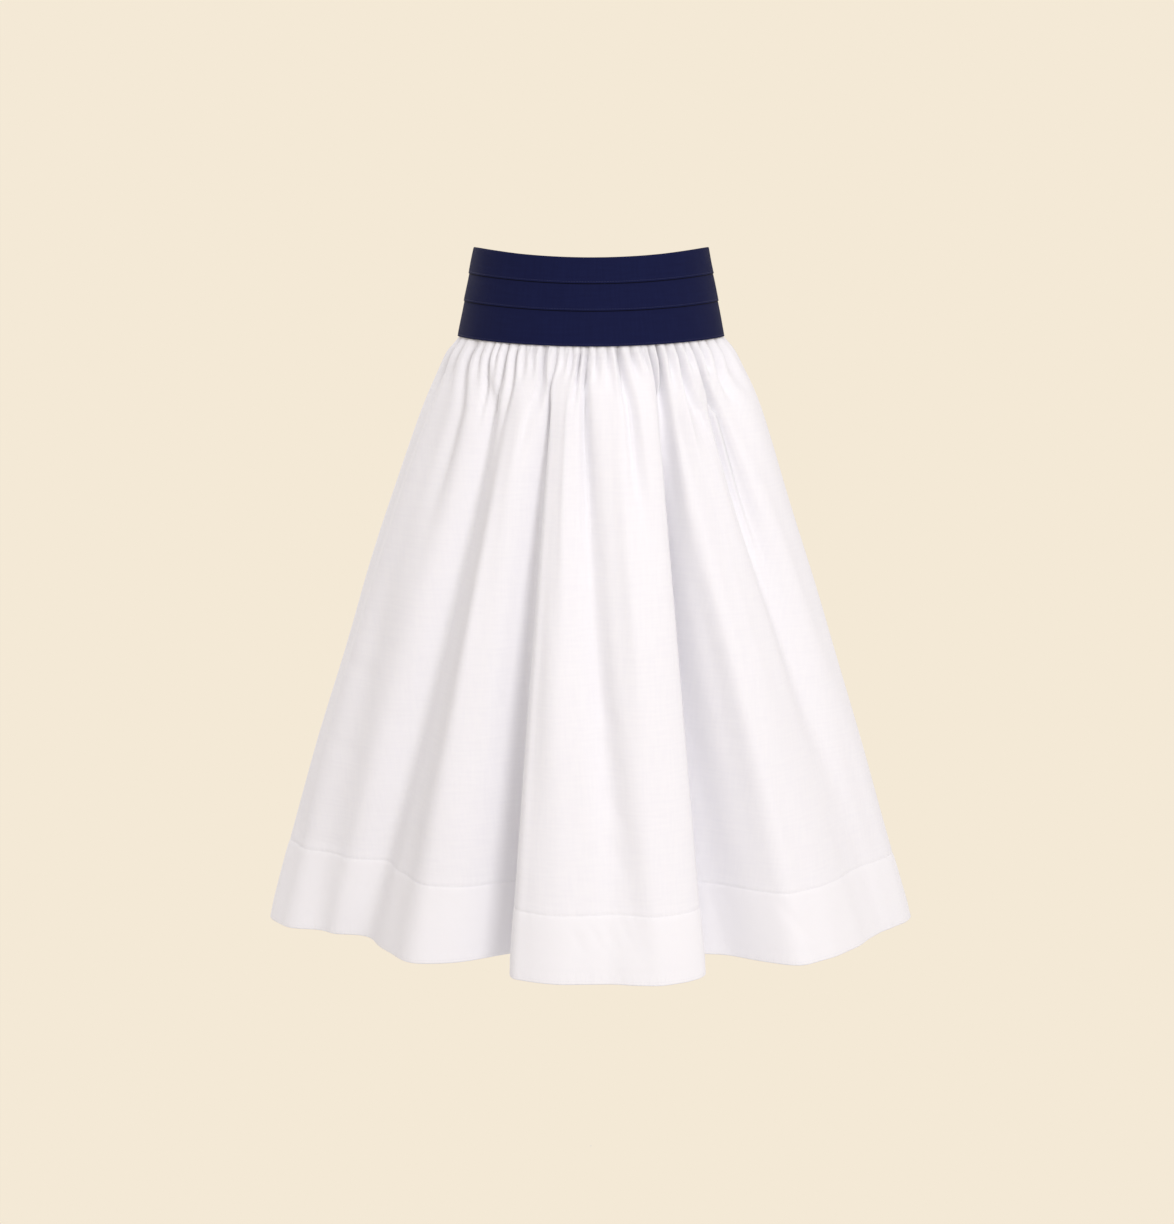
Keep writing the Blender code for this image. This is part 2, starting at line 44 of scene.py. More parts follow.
# A colour written as sRGB hex, turned to the linear values that shaders take.
def hexColour(text):
    parts = np.array([int(text[at:at + 2], 16) / 255.0 for at in (1, 3, 5)])
    linear = np.where(parts <= 0.04045, parts / 12.92, ((parts + 0.055) / 1.055) ** 2.4)
    return (*linear.tolist(), 1.0)


# Adds one node: settings are its properties, links go from a socket or a fixed value
# to an input by name or number.
def addNode(tree, kind, settings=None, links=None):
    node = tree.nodes.new(kind)
    for key, value in (settings or {}).items():
        setattr(node, key, value)
    for key, value in (links or {}).items():
        if isinstance(value, bpy.types.NodeSocket):
            tree.links.new(value, node.inputs[key])
        else:
            node.inputs[key].default_value = value
    return node


# Arithmetic on one or two values.
def reckon(tree, operation, *values):
    return addNode(tree, "ShaderNodeMath", {"operation": operation},
                   dict(enumerate(values))).outputs[0]


# 0 at low and 1 at high, or from one result to another; soft has level ends.
def ramp(tree, value, low, high, results=(0.0, 1.0), soft=False):
    return addNode(tree, "ShaderNodeMapRange",
                   {"interpolation_type": "SMOOTHSTEP" if soft else "LINEAR"},
                   {"Value": value, "From Min": low, "From Max": high,
                    "To Min": results[0], "To Max": results[1]}).outputs[0]


# Noise, 0 to 1, at a place.
def noiseAt(tree, place, scale=1.0, detail=1.0, roughness=0.5):
    return addNode(tree, "ShaderNodeTexNoise", None,
                   {"Vector": place, "Scale": scale, "Detail": detail,
                    "Roughness": roughness}).outputs["Fac"]


# Noise drawn out by a scale for each way across the flat cloth.
def drawnNoise(tree, flat, across, along):
    place = addNode(tree, "ShaderNodeVectorMath", {"operation": "MULTIPLY"},
                    {0: flat, 1: (across, along, 1.0)}).outputs[0]
    return noiseAt(tree, place)


# The first colour at the share 0, the second at 1.
def mixColour(tree, share, first, second):
    return addNode(tree, "ShaderNodeMix", {"data_type": "RGBA"},
                   {"Factor": share, "A": first, "B": second}).outputs["Result"]


# A bump of a height over the surface, or over another bump.
def bumpOver(tree, height, distance, under=None):
    links = {"Height": height, "Distance": distance}
    if under is not None:
        links["Normal"] = under
    return addNode(tree, "ShaderNodeBump", None, links).outputs["Normal"]


# A new Principled material, with the shader's fixed values by socket name.
def newMaterial(name, sockets):
    material = bpy.data.materials.new(name)
    material.use_nodes = True
    shader = material.node_tree.nodes["Principled BSDF"]
    for key, value in sockets.items():
        shader.inputs[key].default_value = value
    return material, material.node_tree, shader


def plainMaterial(name, colour, roughness):
    return newMaterial(name, {"Base Color": hexColour(colour), "Roughness": roughness})[0]


# White plain-woven cotton: matt, with a faint cool brightener tone. Thick and thin
# yarns show as very faint streaks both ways, and the weave roughens the light a little.
cottonLook = {
    "colour": "#F4F4F7",
    "streakColour": "#F1F1F5",
    "roughness": 0.88,
    "sheen": 0.12,
    "specular": 0.25,
    "threadStep": 1.1 * mm,      # real threads are 0.4 mm apart, drawn coarser to show
    "threadBump": 0.00005,
    "slubAcross": 330.0,         # streaks for each metre across them
    "slubAlong": 30.0,
    "slubRange": (0.75, 1.35),   # of both noises together, from no streak to a full one
    "crumpleScale": 26.0,
    "crumpleRoughness": 0.45,
    "crumpleBump": 0.0007,
    "doubleColour": "#F5F5F8",   # the double hem, below this place on the flat cloth
    "doubleBelow": -0.617,
    "doubleFade": 1.0 * mm,
    "foldColour": "#A5A2A4",     # inside the gathers, where folded cloth shuts out the light
    "lapShadeColour": "#03040F",     # painted shade where one tier of the waistband laps over the next
    "lapShadeLines": (),
    "lapShadeReach": 1.0 * mm,
    "sewnLines": (-0.617, -0.6958),    # rows of sewing across the flat cloth
    "puckerReach": 0.013,        # puckers fade this far from the sewing
    "puckerScale": (120.0, 36.0),      # across the cloth and along it
    "puckerBump": 0.0008,
}


def wovenCotton(name, look):
    material, tree, shader = newMaterial(name, {
        "Roughness": look["roughness"], "Sheen Weight": look["sheen"],
        "Sheen Roughness": 0.5, "Specular IOR Level": look["specular"]})
    flat = addNode(tree, "ShaderNodeUVMap", {"uv_map": "flatCloth"}).outputs["UV"]
    parts = addNode(tree, "ShaderNodeSeparateXYZ", None, {0: flat}).outputs
    across, along = look["slubAcross"], look["slubAlong"]
    both = reckon(tree, "ADD", drawnNoise(tree, flat, across, along),
                  drawnNoise(tree, flat, along, across))
    tone = mixColour(tree, ramp(tree, both, *look["slubRange"]), hexColour(look["colour"]),
                     hexColour(look["streakColour"]))
    if look["sewnLines"]:        # the skirt's own cloth, which has the hem and gathers
        double = ramp(tree, parts["Y"], look["doubleBelow"],
                      look["doubleBelow"] - look["doubleFade"])
        tone = mixColour(tree, double, tone, hexColour(look["doubleColour"]))
        inside = addNode(tree, "ShaderNodeAttribute", {"attribute_name": "foldShade"})
        tone = mixColour(tree, inside.outputs["Fac"], tone, hexColour(look["foldColour"]))
    # Painted shade: the colour darkens along each line where a tier of the waistband laps over the
    # next.
    for line in look["lapShadeLines"]:
        near = lineNearness(tree, parts["Y"], line, look["lapShadeReach"])
        tone = mixColour(tree, near, tone, hexColour(look["lapShadeColour"]))
    tree.links.new(tone, shader.inputs["Base Color"])
    turns = 2.0 * math.pi / look["threadStep"]
    waves = [reckon(tree, "SINE", reckon(tree, "MULTIPLY", parts[axis], turns))
             for axis in ("X", "Y")]
    bump = bumpOver(tree, reckon(tree, "MULTIPLY", *waves), look["threadBump"])
    crumple = noiseAt(tree, flat, look["crumpleScale"], 2.0, look["crumpleRoughness"])
    bump = bumpOver(tree, crumple, look["crumpleBump"], bump)
    for line in look["sewnLines"]:
        bump = sewnPuckers(tree, flat, parts["Y"], line, look, bump)
    tree.links.new(bump, shader.inputs["Normal"])
    return material


# 1 on a line across the flat cloth, falling softly to 0 at its reach.
def lineNearness(tree, lengthwise, line, reach):
    apart = reckon(tree, "ABSOLUTE", reckon(tree, "SUBTRACT", lengthwise, line))
    return ramp(tree, apart, 0.0, reach, (1.0, 0.0), True)


# Puckers along a row of sewing, as a bump: noise drawn out along the cloth's length,
# fading away from the row.
def sewnPuckers(tree, flat, lengthwise, line, look, under):
    near = lineNearness(tree, lengthwise, line, look["puckerReach"])
    height = reckon(tree, "MULTIPLY", drawnNoise(tree, flat, *look["puckerScale"]), near)
    return bumpOver(tree, height, look["puckerBump"], under)


# Navy cotton sateen over interfacing: deeper and closer than the white, with a faint
# silky lift at grazing angles, the same fine streaks and painted shade where tiers lap.
navyLook = dict(cottonLook, colour="#10153A", streakColour="#12183E", roughness=0.8,
                sheen=0.02, specular=0.08, crumpleBump=0.0004, threadBump=0.00004,
                lapShadeLines=(-0.0303, -0.0618), sewnLines=())

# Sewing thread, a little glossier than the cloth it is sewn in.
threadLook = {"white": "#E6E6EC", "navy": "#242A55", "roughness": 0.55}

# Nylon monofilament of the zip's coil: smooth and a little shiny.
nylonLook = {"colour": "#E8E8EB", "roughness": 0.35}

# Satin nickel plating on zinc, its roughness uneven by a fine grain.
nickelLook = {"colour": "#C9C6C0", "roughness": 0.32, "uneven": 0.08, "grainScale": 900.0}

whiteCotton = wovenCotton("white woven cotton", cottonLook)
navyCotton = wovenCotton("navy woven cotton", navyLook)
tapeCotton = wovenCotton("white woven zip tape",
                         dict(cottonLook, crumpleBump=0.0, sheen=0.05, sewnLines=()))
whiteThread = plainMaterial("white sewing thread", threadLook["white"], threadLook["roughness"])
navyThread = plainMaterial("navy sewing thread", threadLook["navy"], threadLook["roughness"])
nylonCoil = plainMaterial("white nylon coil", nylonLook["colour"], nylonLook["roughness"])


def satinNickel():
    material, tree, shader = newMaterial("satin nickel", {
        "Base Color": hexColour(nickelLook["colour"]), "Metallic": 1.0})
    place = addNode(tree, "ShaderNodeTexCoord").outputs["Object"]
    limits = (nickelLook["roughness"] - nickelLook["uneven"],
              nickelLook["roughness"] + nickelLook["uneven"])
    rough = ramp(tree, noiseAt(tree, place, nickelLook["grainScale"], 2.0), 0.0, 1.0, limits)
    tree.links.new(rough, shader.inputs["Roughness"])
    return material


nickel = satinNickel()
print("stage: materials made")


# Quads of a grid of points in rows, both ways as arrays; closedRows joins the last row
# to the first.
def gridQuads(rows, columns, closedRows=False):
    index = np.arange(rows * columns).reshape(rows, columns)
    below = np.roll(index, -1, axis=0)
    if not closedRows:
        index, below = index[:-1], below[:-1]
    return np.stack((index[:, :-1], below[:, :-1], below[:, 1:], index[:, 1:]),
                    axis=-1).reshape(-1, 4)


# Vectors of the length 1.
def unit(vectors):
    return vectors / np.linalg.norm(vectors, axis=-1, keepdims=True)


# A smooth mesh object from points, faces as lists and one flat-cloth coordinate for each
# point.
def meshPiece(name, points, faces, material, flat=None, sharpAngle=None):
    mesh = bpy.data.meshes.new(name)
    mesh.from_pydata(points.reshape(-1, 3).tolist(), [], faces)
    if flat is not None:
        layer = mesh.uv_layers.new(name="flatCloth")
        corners = np.empty(len(mesh.loops), dtype=np.int32)
        mesh.loops.foreach_get("vertex_index", corners)
        layer.data.foreach_set("uv", flat.reshape(-1, 2)[corners].astype(np.float32).ravel())
    mesh.shade_smooth()
    if sharpAngle is not None:
        mesh.set_sharp_from_angle(angle=math.radians(sharpAngle))
    mesh.materials.append(material)
    piece = bpy.data.objects.new(name, mesh)
    bpy.context.scene.collection.objects.link(piece)
    return piece


# A closed wall from an outer and an inner grid of points. Their rows run into one loop
# down the outside, round the lower edge and up the inside, and both ends are filled.
def wallPiece(name, outer, inner, material, flat):
    wall = np.linalg.norm(outer[-1] - inner[-1], axis=-1, keepdims=True)
    low = (outer[-1] + inner[-1]) / 2.0 + unit(outer[-1] - outer[-2]) * 0.5 * wall
    loop = np.concatenate((outer, low[None], inner[::-1]))
    coordinates = np.concatenate((flat, flat[-1:], flat[::-1]))
    rows, columns = loop.shape[:2]
    faces = [gridQuads(rows, columns, True)]
    down = np.arange(rows // 2)
    for column, turned in ((0, False), (columns - 1, True)):
        near = down * columns + column
        far = (rows - 1 - down) * columns + column
        quads = np.stack((near[:-1], far[:-1], far[1:], near[1:]), axis=-1)
        faces.append(quads[:, ::-1] if turned else quads)
    return meshPiece(name, loop, np.concatenate(faces).tolist(), material, coordinates)


# Unit directions from the first (0) or last (-1) column of a grid of points into it.
def intoGrid(points, end):
    return unit(points[:, 1 if end == 0 else -2] - points[:, end])


# 0 below 0 and 1 above 1, with level ends.
def smoothStep(value):
    clipped = np.clip(value, 0.0, 1.0)
    return clipped * clipped * (3.0 - 2.0 * clipped)


# From the first value at the share 0 to the second at 1.
def blend(first, second, share):
    return first + (second - first) * share


# Second derivatives at the knots of a cubic spline through values, closed or open.
def splineMoments(gaps, values, closed):
    count = len(values)
    matrix = np.zeros((count, count))
    right = np.zeros_like(values)
    for knot in range(count):
        before, after = (knot - 1) % count, (knot + 1) % count
        if not closed and knot in (0, count - 1):
            matrix[knot, knot] = 1.0
            continue
        matrix[knot, before] += gaps[before]
        matrix[knot, knot] += 2.0 * (gaps[before] + gaps[knot])
        matrix[knot, after] += gaps[knot]
        right[knot] = 6.0 * ((values[after] - values[knot]) / gaps[knot]
                             - (values[knot] - values[before]) / gaps[before])
    return np.linalg.solve(matrix, right)


# Values of the spline: straight between two knots, bent by the moments at both.
def splineRead(knots, values, moments, at):
    piece = np.clip(np.searchsorted(knots, at, side="right") - 1, 0, len(knots) - 2)
    gap = knots[piece + 1] - knots[piece]
    up = ((at - knots[piece]) / gap)[..., None]
    down = 1.0 - up
    bend = (down ** 3 - down) * moments[piece] + (up ** 3 - up) * moments[piece + 1]
    return down * values[piece] + up * values[piece + 1] + (gap ** 2)[..., None] / 6.0 * bend


# The waistband, three tiers each lapped over the next. Half sizes are those of its
# outer face; the dips are how far an edge hangs lower at centre front and back.
band = {
    "topZ": 0.051,
    "height": 0.102,
    "topHalf": (0.1363, 0.1050),
    "bottomHalf": (0.1547, 0.1200),
    "wall": 1.9 * mm,
    "lapStep": 1.0 * mm,          # how far a tier's lower edge stands over the next
    "lapWall": 0.8 * mm,
    "lapDepth": 3.0 * mm,         # how far the next tier goes up behind it
    "frontDip": (0.0113, 0.0073),
    "backDip": (0.0130, 0.0090),
    "tiers": (("Upper", 0.0300), ("Middle", 0.0315), ("Lower", 0.0405)),
    "stitchUp": 2.1 * mm,         # the sewing runs this far above each lower edge
    "stitchOut": 0.93,            # of the way out to the lap's step
    "unevenness": 0.35 * mm,
}

# The skirt's plain section at drops below the seam: half width and half depth.
skirt = {
    "hemZ": -0.750,
    "seamGap": 0.3 * mm,          # between the waistband and the skirt
    "seamOpen": 0.08 * mm,        # left between two panels sewn edge to edge
    "seamSink": 0.45 * mm,        # how far the cloth dips into such a seam, below the zip
    "sinkFrom": 0.13,
    "sinkFade": 0.05,
    "hemDepth": 0.082,
    "sections": ((0.000, 0.1540, 0.1190), (0.010, 0.1632, 0.1290), (0.034, 0.1768, 0.1400),
                 (0.057, 0.1870, 0.1470), (0.105, 0.2050, 0.1560), (0.199, 0.2350, 0.1680),
                 (0.319, 0.2715, 0.1800), (0.439, 0.3060, 0.1910), (0.564, 0.3405, 0.2030),
                 (0.699, 0.3760, 0.2150)),
    "cloth": 0.6 * mm,
    "hemCloth": 1.5 * mm,         # the hem lies double
    "hemFold": 1.2 * mm,          # over which the wall grows from one to the other
    "hemSwell": 0.8 * mm,         # the hem stands out a little below its sewing
    "swellFade": (0.012, 0.020),  # below the sewing and above the edge
    "hemGroove": 0.5 * mm,
    "grooveWidth": 1.6 * mm,
    "tuckUp": 3.4 * mm,           # the gathered edge goes this far up behind the band
    "columns": {"front": 292, "back": 150},
}
skirtLength = skirt["sections"][-1][0]

# Main folds: bearing in degrees from the centre front at the seam, middle and hem, and
# millimetres out of the plain section near the seam, at the middle and at the hem.
folds = (
    ("backCentre", -180, -180, -180, 0, 9, 18),
    ("backValley1", -164, -162, -160, -5, -20, -34),
    ("backRidge1", -150, -148, -146, 4, 14, 24),
    ("backValley2", -134, -132, -133, -5, -16, -30),
    ("backRidge2", -119, -118, -117, 3, 12, 20),
    ("backValley3", -104, -104, -104, -3, -10, -20),
    ("sideLeft", -90, -90, -90, 1, 7, 12),
    ("leftHollow", -62, -70, -71, -4, -8, -23),
    ("leftLobe", -44, -52, -61, 4, -4, -34),
    ("leftValley", -36, -42, -51, -6, -20, -41),
    ("innerLeftLobe", -24, -29, -32, 6, 8, 2),
    ("innerLeftFlank", -16.5, -20, -21, 0, -6, -23),
    ("deepValleyLeft", -13, -13.5, -11, -9, -36, -66),
    ("centreLeftEdge", -12.5, -13, -13.5, 3, 12, 22),
    ("centreLeftShoulder", -10, -10, -10, 7, 27, 43),
    ("centreLeftRidge", -8, -6.5, -4, 8, 31, 51),
    ("centreValley", -5.5, -1, 2, 3, 24, 50),
    ("centreRightRidge", 8, 8.5, 10, 8, 31, 59),
    ("centreRightShoulder", 17.5, 16, 15.5, 7, 27, 47),
    ("centreRightEdge", 21.5, 19.5, 19, 3, 13, 27),
    ("deepValleyRight", 23.5, 20, 16.5, -9, -32, -56),
    ("innerRightFlank", 24.5, 23, 22.5, -7, -12, -11),
    ("rightValley", 26.5, 25.5, 26, -6, -13, -9),
    ("rightLobe", 34, 36, 37, 6, 13, 22),
    ("outerRightValley", 43, 55, 64, -5, -7, -5),
    ("outerRightLobe", 56, 71, 78, 3, 1, 3),
    ("sideRight", 90, 90, 90, 1, 1, 9),
    ("backValley4", 105, 106, 104, -3, -12, -24),
    ("backRidge3", 119, 118, 120, 4, 13, 22),
    ("backValley5", 134, 131, 129, -5, -18, -32),
    ("backRidge4", 148, 147, 145, 4, 14, 26),
    ("backValley6", 164, 161, 161, -5, -20, -30),
)

# Gathers of the front panel: cloth place at the seam, depth and length in millimetres.
frontGathers = (
    (0.242, 4, 50), (0.255, 6, 90), (0.273, 5, 80), (0.2906, 8, 240), (0.3085, 5, 60),
    (0.3245, 8, 110), (0.336, 4, 45), (0.3485, 9, 130), (0.3645, 8, 120), (0.379, 5, 50),
    (0.395, 4, 40), (0.4125, 9, 160), (0.449, 6, 110), (0.462, 4, 40),
    (0.477, 7, 45), (0.4915, 11, 80), (0.5017, 15, 300), (0.5115, 9, 50), (0.5235, 9, 60),
    (0.534, 17, 220), (0.549, 9, 45), (0.566, 5, 40), (0.584, 11, 90), (0.6075, 18, 280),
    (0.626, 11, 60), (0.644, 17, 170), (0.660, 9, 40), (0.6758, 21, 320), (0.698, 10, 50),
    (0.7195, 14, 90), (0.7395, 10, 80), (0.756, 5, 50),
)
# How far the lines of the front's gathers wander across the cloth on their way down:
# cloth place at the seam, and the shift reached by the end of the wandering.
gatherDrift = ((0.0, 0.0), (0.234, 0.0), (0.273, 0.0), (0.2906, 0.003), (0.3245, -0.013),
               (0.3485, -0.026), (0.3645, -0.019), (0.379, -0.028), (0.4125, -0.041),
               (0.449, -0.036), (0.477, -0.012), (0.4915, 0.001), (0.5017, 0.004),
               (0.534, 0.002), (0.549, 0.004), (0.584, 0.006), (0.6075, 0.016),
               (0.626, 0.013), (0.644, 0.016), (0.6758, 0.043), (0.698, 0.034),
               (0.7195, 0.018), (0.7395, 0.008), (0.766, 0.0), (1.0, 0.0))
gathers = {
    "backFlat": 0.018,            # none this near the centre back, where the zip is
    "backFade": 0.7,              # of that, before they grow
    "seamPull": 0.5,              # how far the main folds draw the cloth along the seam
    "tuckedWave": 0.08,           # share of the relief that goes up behind the waistband
    "seamWave": 0.30,             # share of a gather's depth left at the seam
    "rise": 0.012,                # a gather is deepest this far below the seam
    "slit": 0.25,                 # how narrow its valley is at the seam, and lower down
    "opened": 1.1,
    "openedBy": 0.06,
    "driftStart": 0.015,          # drops between which the lines wander
    "driftEnd": 0.085,
    "shade": 0.62,                # darkening in the gathers where they go into the seam
    "shadeWidth": 0.15,           # of the way to the next gather
    "shadeDepth": 15.0 * mm,      # gathers this deep or more get all of it
    "shadeLeast": 0.3,
    "shadeShare": 0.6,            # of a gather's length, and this far down at most
    "shadeLength": 0.055,
}
# The back's gathers in millimetres: the usual size, its unevenness, and what a strong
# one has more.
backGathers = {
    "inPanel": 14,
    "stepUneven": 0.24,
    "depth": (5.5, 1.5, 4.5),
    "length": (60.0, 25.0, 190.0),
}
# Short pleats between the gathers, each of its own depth and length.
pleats = {
    "each": 2,                    # for each gather
    "depth": 2.5 * mm,
    "depthUneven": 0.45,
    "length": 0.026,
    "lengthUneven": 0.5,
    "width": 0.2,
    "seamWave": 0.35,             # share of the depth at the seam, and full this far down
    "rise": 5.0 * mm,
}


# Half width and half depth of the plain section at a drop, from its spline.
def sectionHalves(drop):
    halves = splineRead(sectionTable[:, 0], sectionTable[:, 1:], sectionMoments, drop)
    return halves[..., 0], halves[..., 1]


# Quadratic weights of three levels down the skirt: first, one half and one.
def levelWeights(fraction, first):
    top = (fraction - 0.5) * (fraction - 1.0) / ((first - 0.5) * (first - 1.0))
    middle = (fraction - first) * (fraction - 1.0) / ((0.5 - first) * -0.5)
    hem = (fraction - first) * (fraction - 0.5) / ((1.0 - first) * 0.5)
    return np.stack((top, middle, hem), axis=-1)


sectionTable = np.array(skirt["sections"])
sectionMoments = splineMoments(np.diff(sectionTable[:, 0]), sectionTable[:, 1:], False)
foldNames = [row[0] for row in folds]
foldBearings = np.array([row[1:4] for row in folds], dtype=float)
foldReliefs = np.array([row[4:7] for row in folds]) * mm


# Cloth place of each fold, 0 to 1 round from the centre back by the cloth's left: the
# mean of the straight distances between folds at the middle and at the hem.
def foldPlaces():
    chords = np.zeros(len(folds))
    for level, drop in ((1, 0.5 * skirtLength), (2, skirtLength)):
        halfWidth, halfDepth = sectionHalves(np.array([drop]))
        angle = np.radians(foldBearings[:, level])
        across = (halfWidth + foldReliefs[:, level]) * np.sin(angle)
        along = (halfDepth + foldReliefs[:, level]) * np.cos(angle)
        chords += np.hypot(across - np.roll(across, -1), along - np.roll(along, -1))
    return np.concatenate(([0.0], np.cumsum(chords) / chords.sum()))


places = foldPlaces()
placeGaps = np.diff(places)
leads = foldBearings - (360.0 * places[:-1, None] - 180.0)
leadMoments = splineMoments(placeGaps, leads, True)
reliefMoments = splineMoments(placeGaps, foldReliefs, True)
sideLeftPlace = places[foldNames.index("sideLeft")]
sideRightPlace = places[foldNames.index("sideRight")]


# A table round the skirt, with its first row again at the end.
def closeRound(table):
    return np.concatenate((table, table[:1]))


# Bearings at the seam of the folds' cloth places: evenly gathered cloth, drawn partway
# to where each fold starts.
def seamTable():
    bearing = np.radians(np.linspace(-180.0, 180.0, 1441))
    halfWidth, halfDepth = skirt["sections"][0][1:]
    steps = np.hypot(np.diff(halfWidth * np.sin(bearing)), np.diff(halfDepth * np.cos(bearing)))
    share = np.concatenate(([0.0], np.cumsum(steps))) / steps.sum()
    clothShare = np.interp(places, (0.0, sideLeftPlace, sideRightPlace, 1.0),
                           (0.0, 0.25, 0.75, 1.0))
    even = np.interp(clothShare, share, np.degrees(bearing))
    starts = np.append(foldBearings[:, 0], 180.0)
    return even + (starts - even) * gathers["seamPull"]


seamBearings = seamTable()
backFlatAngle = math.degrees(gathers["backFlat"] / skirt["sections"][0][1])


# Cloth place, depth and length of every gather in order. The back has the same
# unevenness as the front by sines of the gather's number.
def gatherTable():
    rows = [(place, depth * mm, length * mm) for place, depth, length in frontGathers]
    count = backGathers["inPanel"]
    depth, depthUneven, depthMore = backGathers["depth"]
    length, lengthUneven, lengthMore = backGathers["length"]
    for side in (-1, 1):
        for number in range(count):
            uneven = backGathers["stepUneven"] * math.sin(2.4 * number + side)
            step = (number + 0.5 + uneven) / count
            bearing = side * (90.0 + (90.0 - backFlatAngle) * step)
            strong = max(0.0, math.sin(2.2 * number - side))
            deep = depth + depthUneven * math.sin(3.9 * number + 2.0 * side) + depthMore * strong
            long = length + lengthUneven * math.sin(5.1 * number + side) + lengthMore * strong ** 2
            rows.append((float(np.interp(bearing, seamBearings, places)), deep * mm, long * mm))
    return np.array(sorted(rows))


gatherRows = gatherTable()
gatherKnots = np.concatenate((gatherRows[-1:, 0] - 1.0, gatherRows[:, 0], gatherRows[:1, 0] + 1.0))
driftKnots = np.array(gatherDrift)


# 0 on a ridge and 1 in the valley at each whole phase: 1 - |sin|, rounded by width.
def valleyWave(phase, width):
    sine = np.sin(math.pi * phase)
    low = np.sqrt(1.0 + width ** 2)
    return (low - np.sqrt(sine ** 2 + width ** 2)) / (low - width)


# Cloth place at the seam of the gather line through a place: the place less its drift,
# found in three rounds.
def gatherPlace(place, drop):
    wander = smoothStep((drop - gathers["driftStart"])
                        / (gathers["driftEnd"] - gathers["driftStart"]))
    start = place
    for _ in range(3):
        start = place - np.interp(start, driftKnots[:, 0], driftKnots[:, 1]) * wander
    return start


# How far along the row of gathers a place is: a whole number on each gather's line. The
# second value is the row of the nearest gather.
def gatherPhase(place, drop):
    phase = np.interp(gatherPlace(place, drop), gatherKnots, np.arange(len(gatherKnots)) - 1.0)
    return phase, gatherRows[np.rint(phase).astype(int) % len(gatherRows)]


# Inward relief of the gathers: narrow valleys that open and fade on their way down,
# with short pleats of the same kind between them, at uneven steps.
def gatherRelief(place, drop):
    below = np.maximum(drop, 0.0)
    phase, nearest = gatherPhase(place, below)
    depth, length = nearest[..., 1], nearest[..., 2]
    rise = blend(gathers["seamWave"], 1.0, smoothStep(below / gathers["rise"]))
    fade = 1.0 - smoothStep((below - gathers["rise"]) / (length - gathers["rise"]))
    opening = blend(gathers["slit"], gathers["opened"],
                    smoothStep(below / np.minimum(length, gathers["openedBy"])))
    deep = valleyWave(phase, opening) * depth * rise * fade
    uneven = 0.16 * np.sin(5.3 * phase) + 0.11 * np.sin(12.1 * phase + 1.0)
    pleatPhase = (phase + uneven) * pleats["each"] + 0.5
    number = np.rint(pleatPhase)
    length = pleats["length"] * (1.0 + pleats["lengthUneven"] * np.sin(2.9 * number))
    depth = pleats["depth"] * (1.0 + pleats["depthUneven"] * np.sin(4.7 * number + 1.3))
    rise = blend(pleats["seamWave"], 1.0, smoothStep(below / pleats["rise"]))
    fade = 1.0 - smoothStep(below / length)
    small = valleyWave(pleatPhase, pleats["width"]) * depth * fade * rise
    bearing = np.abs(np.interp(place, places, seamBearings))
    clear = smoothStep((180.0 - bearing) / backFlatAngle - gathers["backFade"])
    tucked = smoothStep(1.0 + drop / skirt["tuckUp"])      # flat where it is sewn in
    return (deep + small) * clear * blend(gathers["tuckedWave"], 1.0, tucked)


# How far each point lies inside a gather near the seam, 0 to 1: a narrow bell across
# the gather's line, stronger for deep gathers, fading down the cloth.
def gatherShade(place, drop):
    below = np.maximum(drop, 0.0)
    phase, nearest = gatherPhase(place, below)
    line = np.exp(-((phase - np.rint(phase)) / gathers["shadeWidth"]) ** 2)
    strong = np.clip(nearest[..., 1] / gathers["shadeDepth"], gathers["shadeLeast"], 1.0)
    reach = np.minimum(nearest[..., 2] * gathers["shadeShare"], gathers["shadeLength"])
    return line * strong * (1.0 - smoothStep(below / reach)) * gathers["shade"]


# How far the waistband hangs below its height at the sides: share is 0 at its top edge
# and 1 at its bottom edge, and the dip goes with the cosine squared of the bearing.
def bandDip(bearing, share):
    cosine = np.cos(np.radians(bearing))
    front, back = blend(*band["frontDip"], share), blend(*band["backDip"], share)
    return np.where(cosine > 0.0, front, back) * cosine ** 2


# Length of the cloth round the skirt at drops below the seam, for sizes along the cloth.
clothLengths = np.array(((0.0, 0.87), (0.012, 1.09), (0.14, 1.41), (0.245, 1.73), (0.35, 2.03),
                         (0.699, 2.41)))


def clothRound(drop):
    return np.interp(drop, clothLengths[:, 0], clothLengths[:, 1])


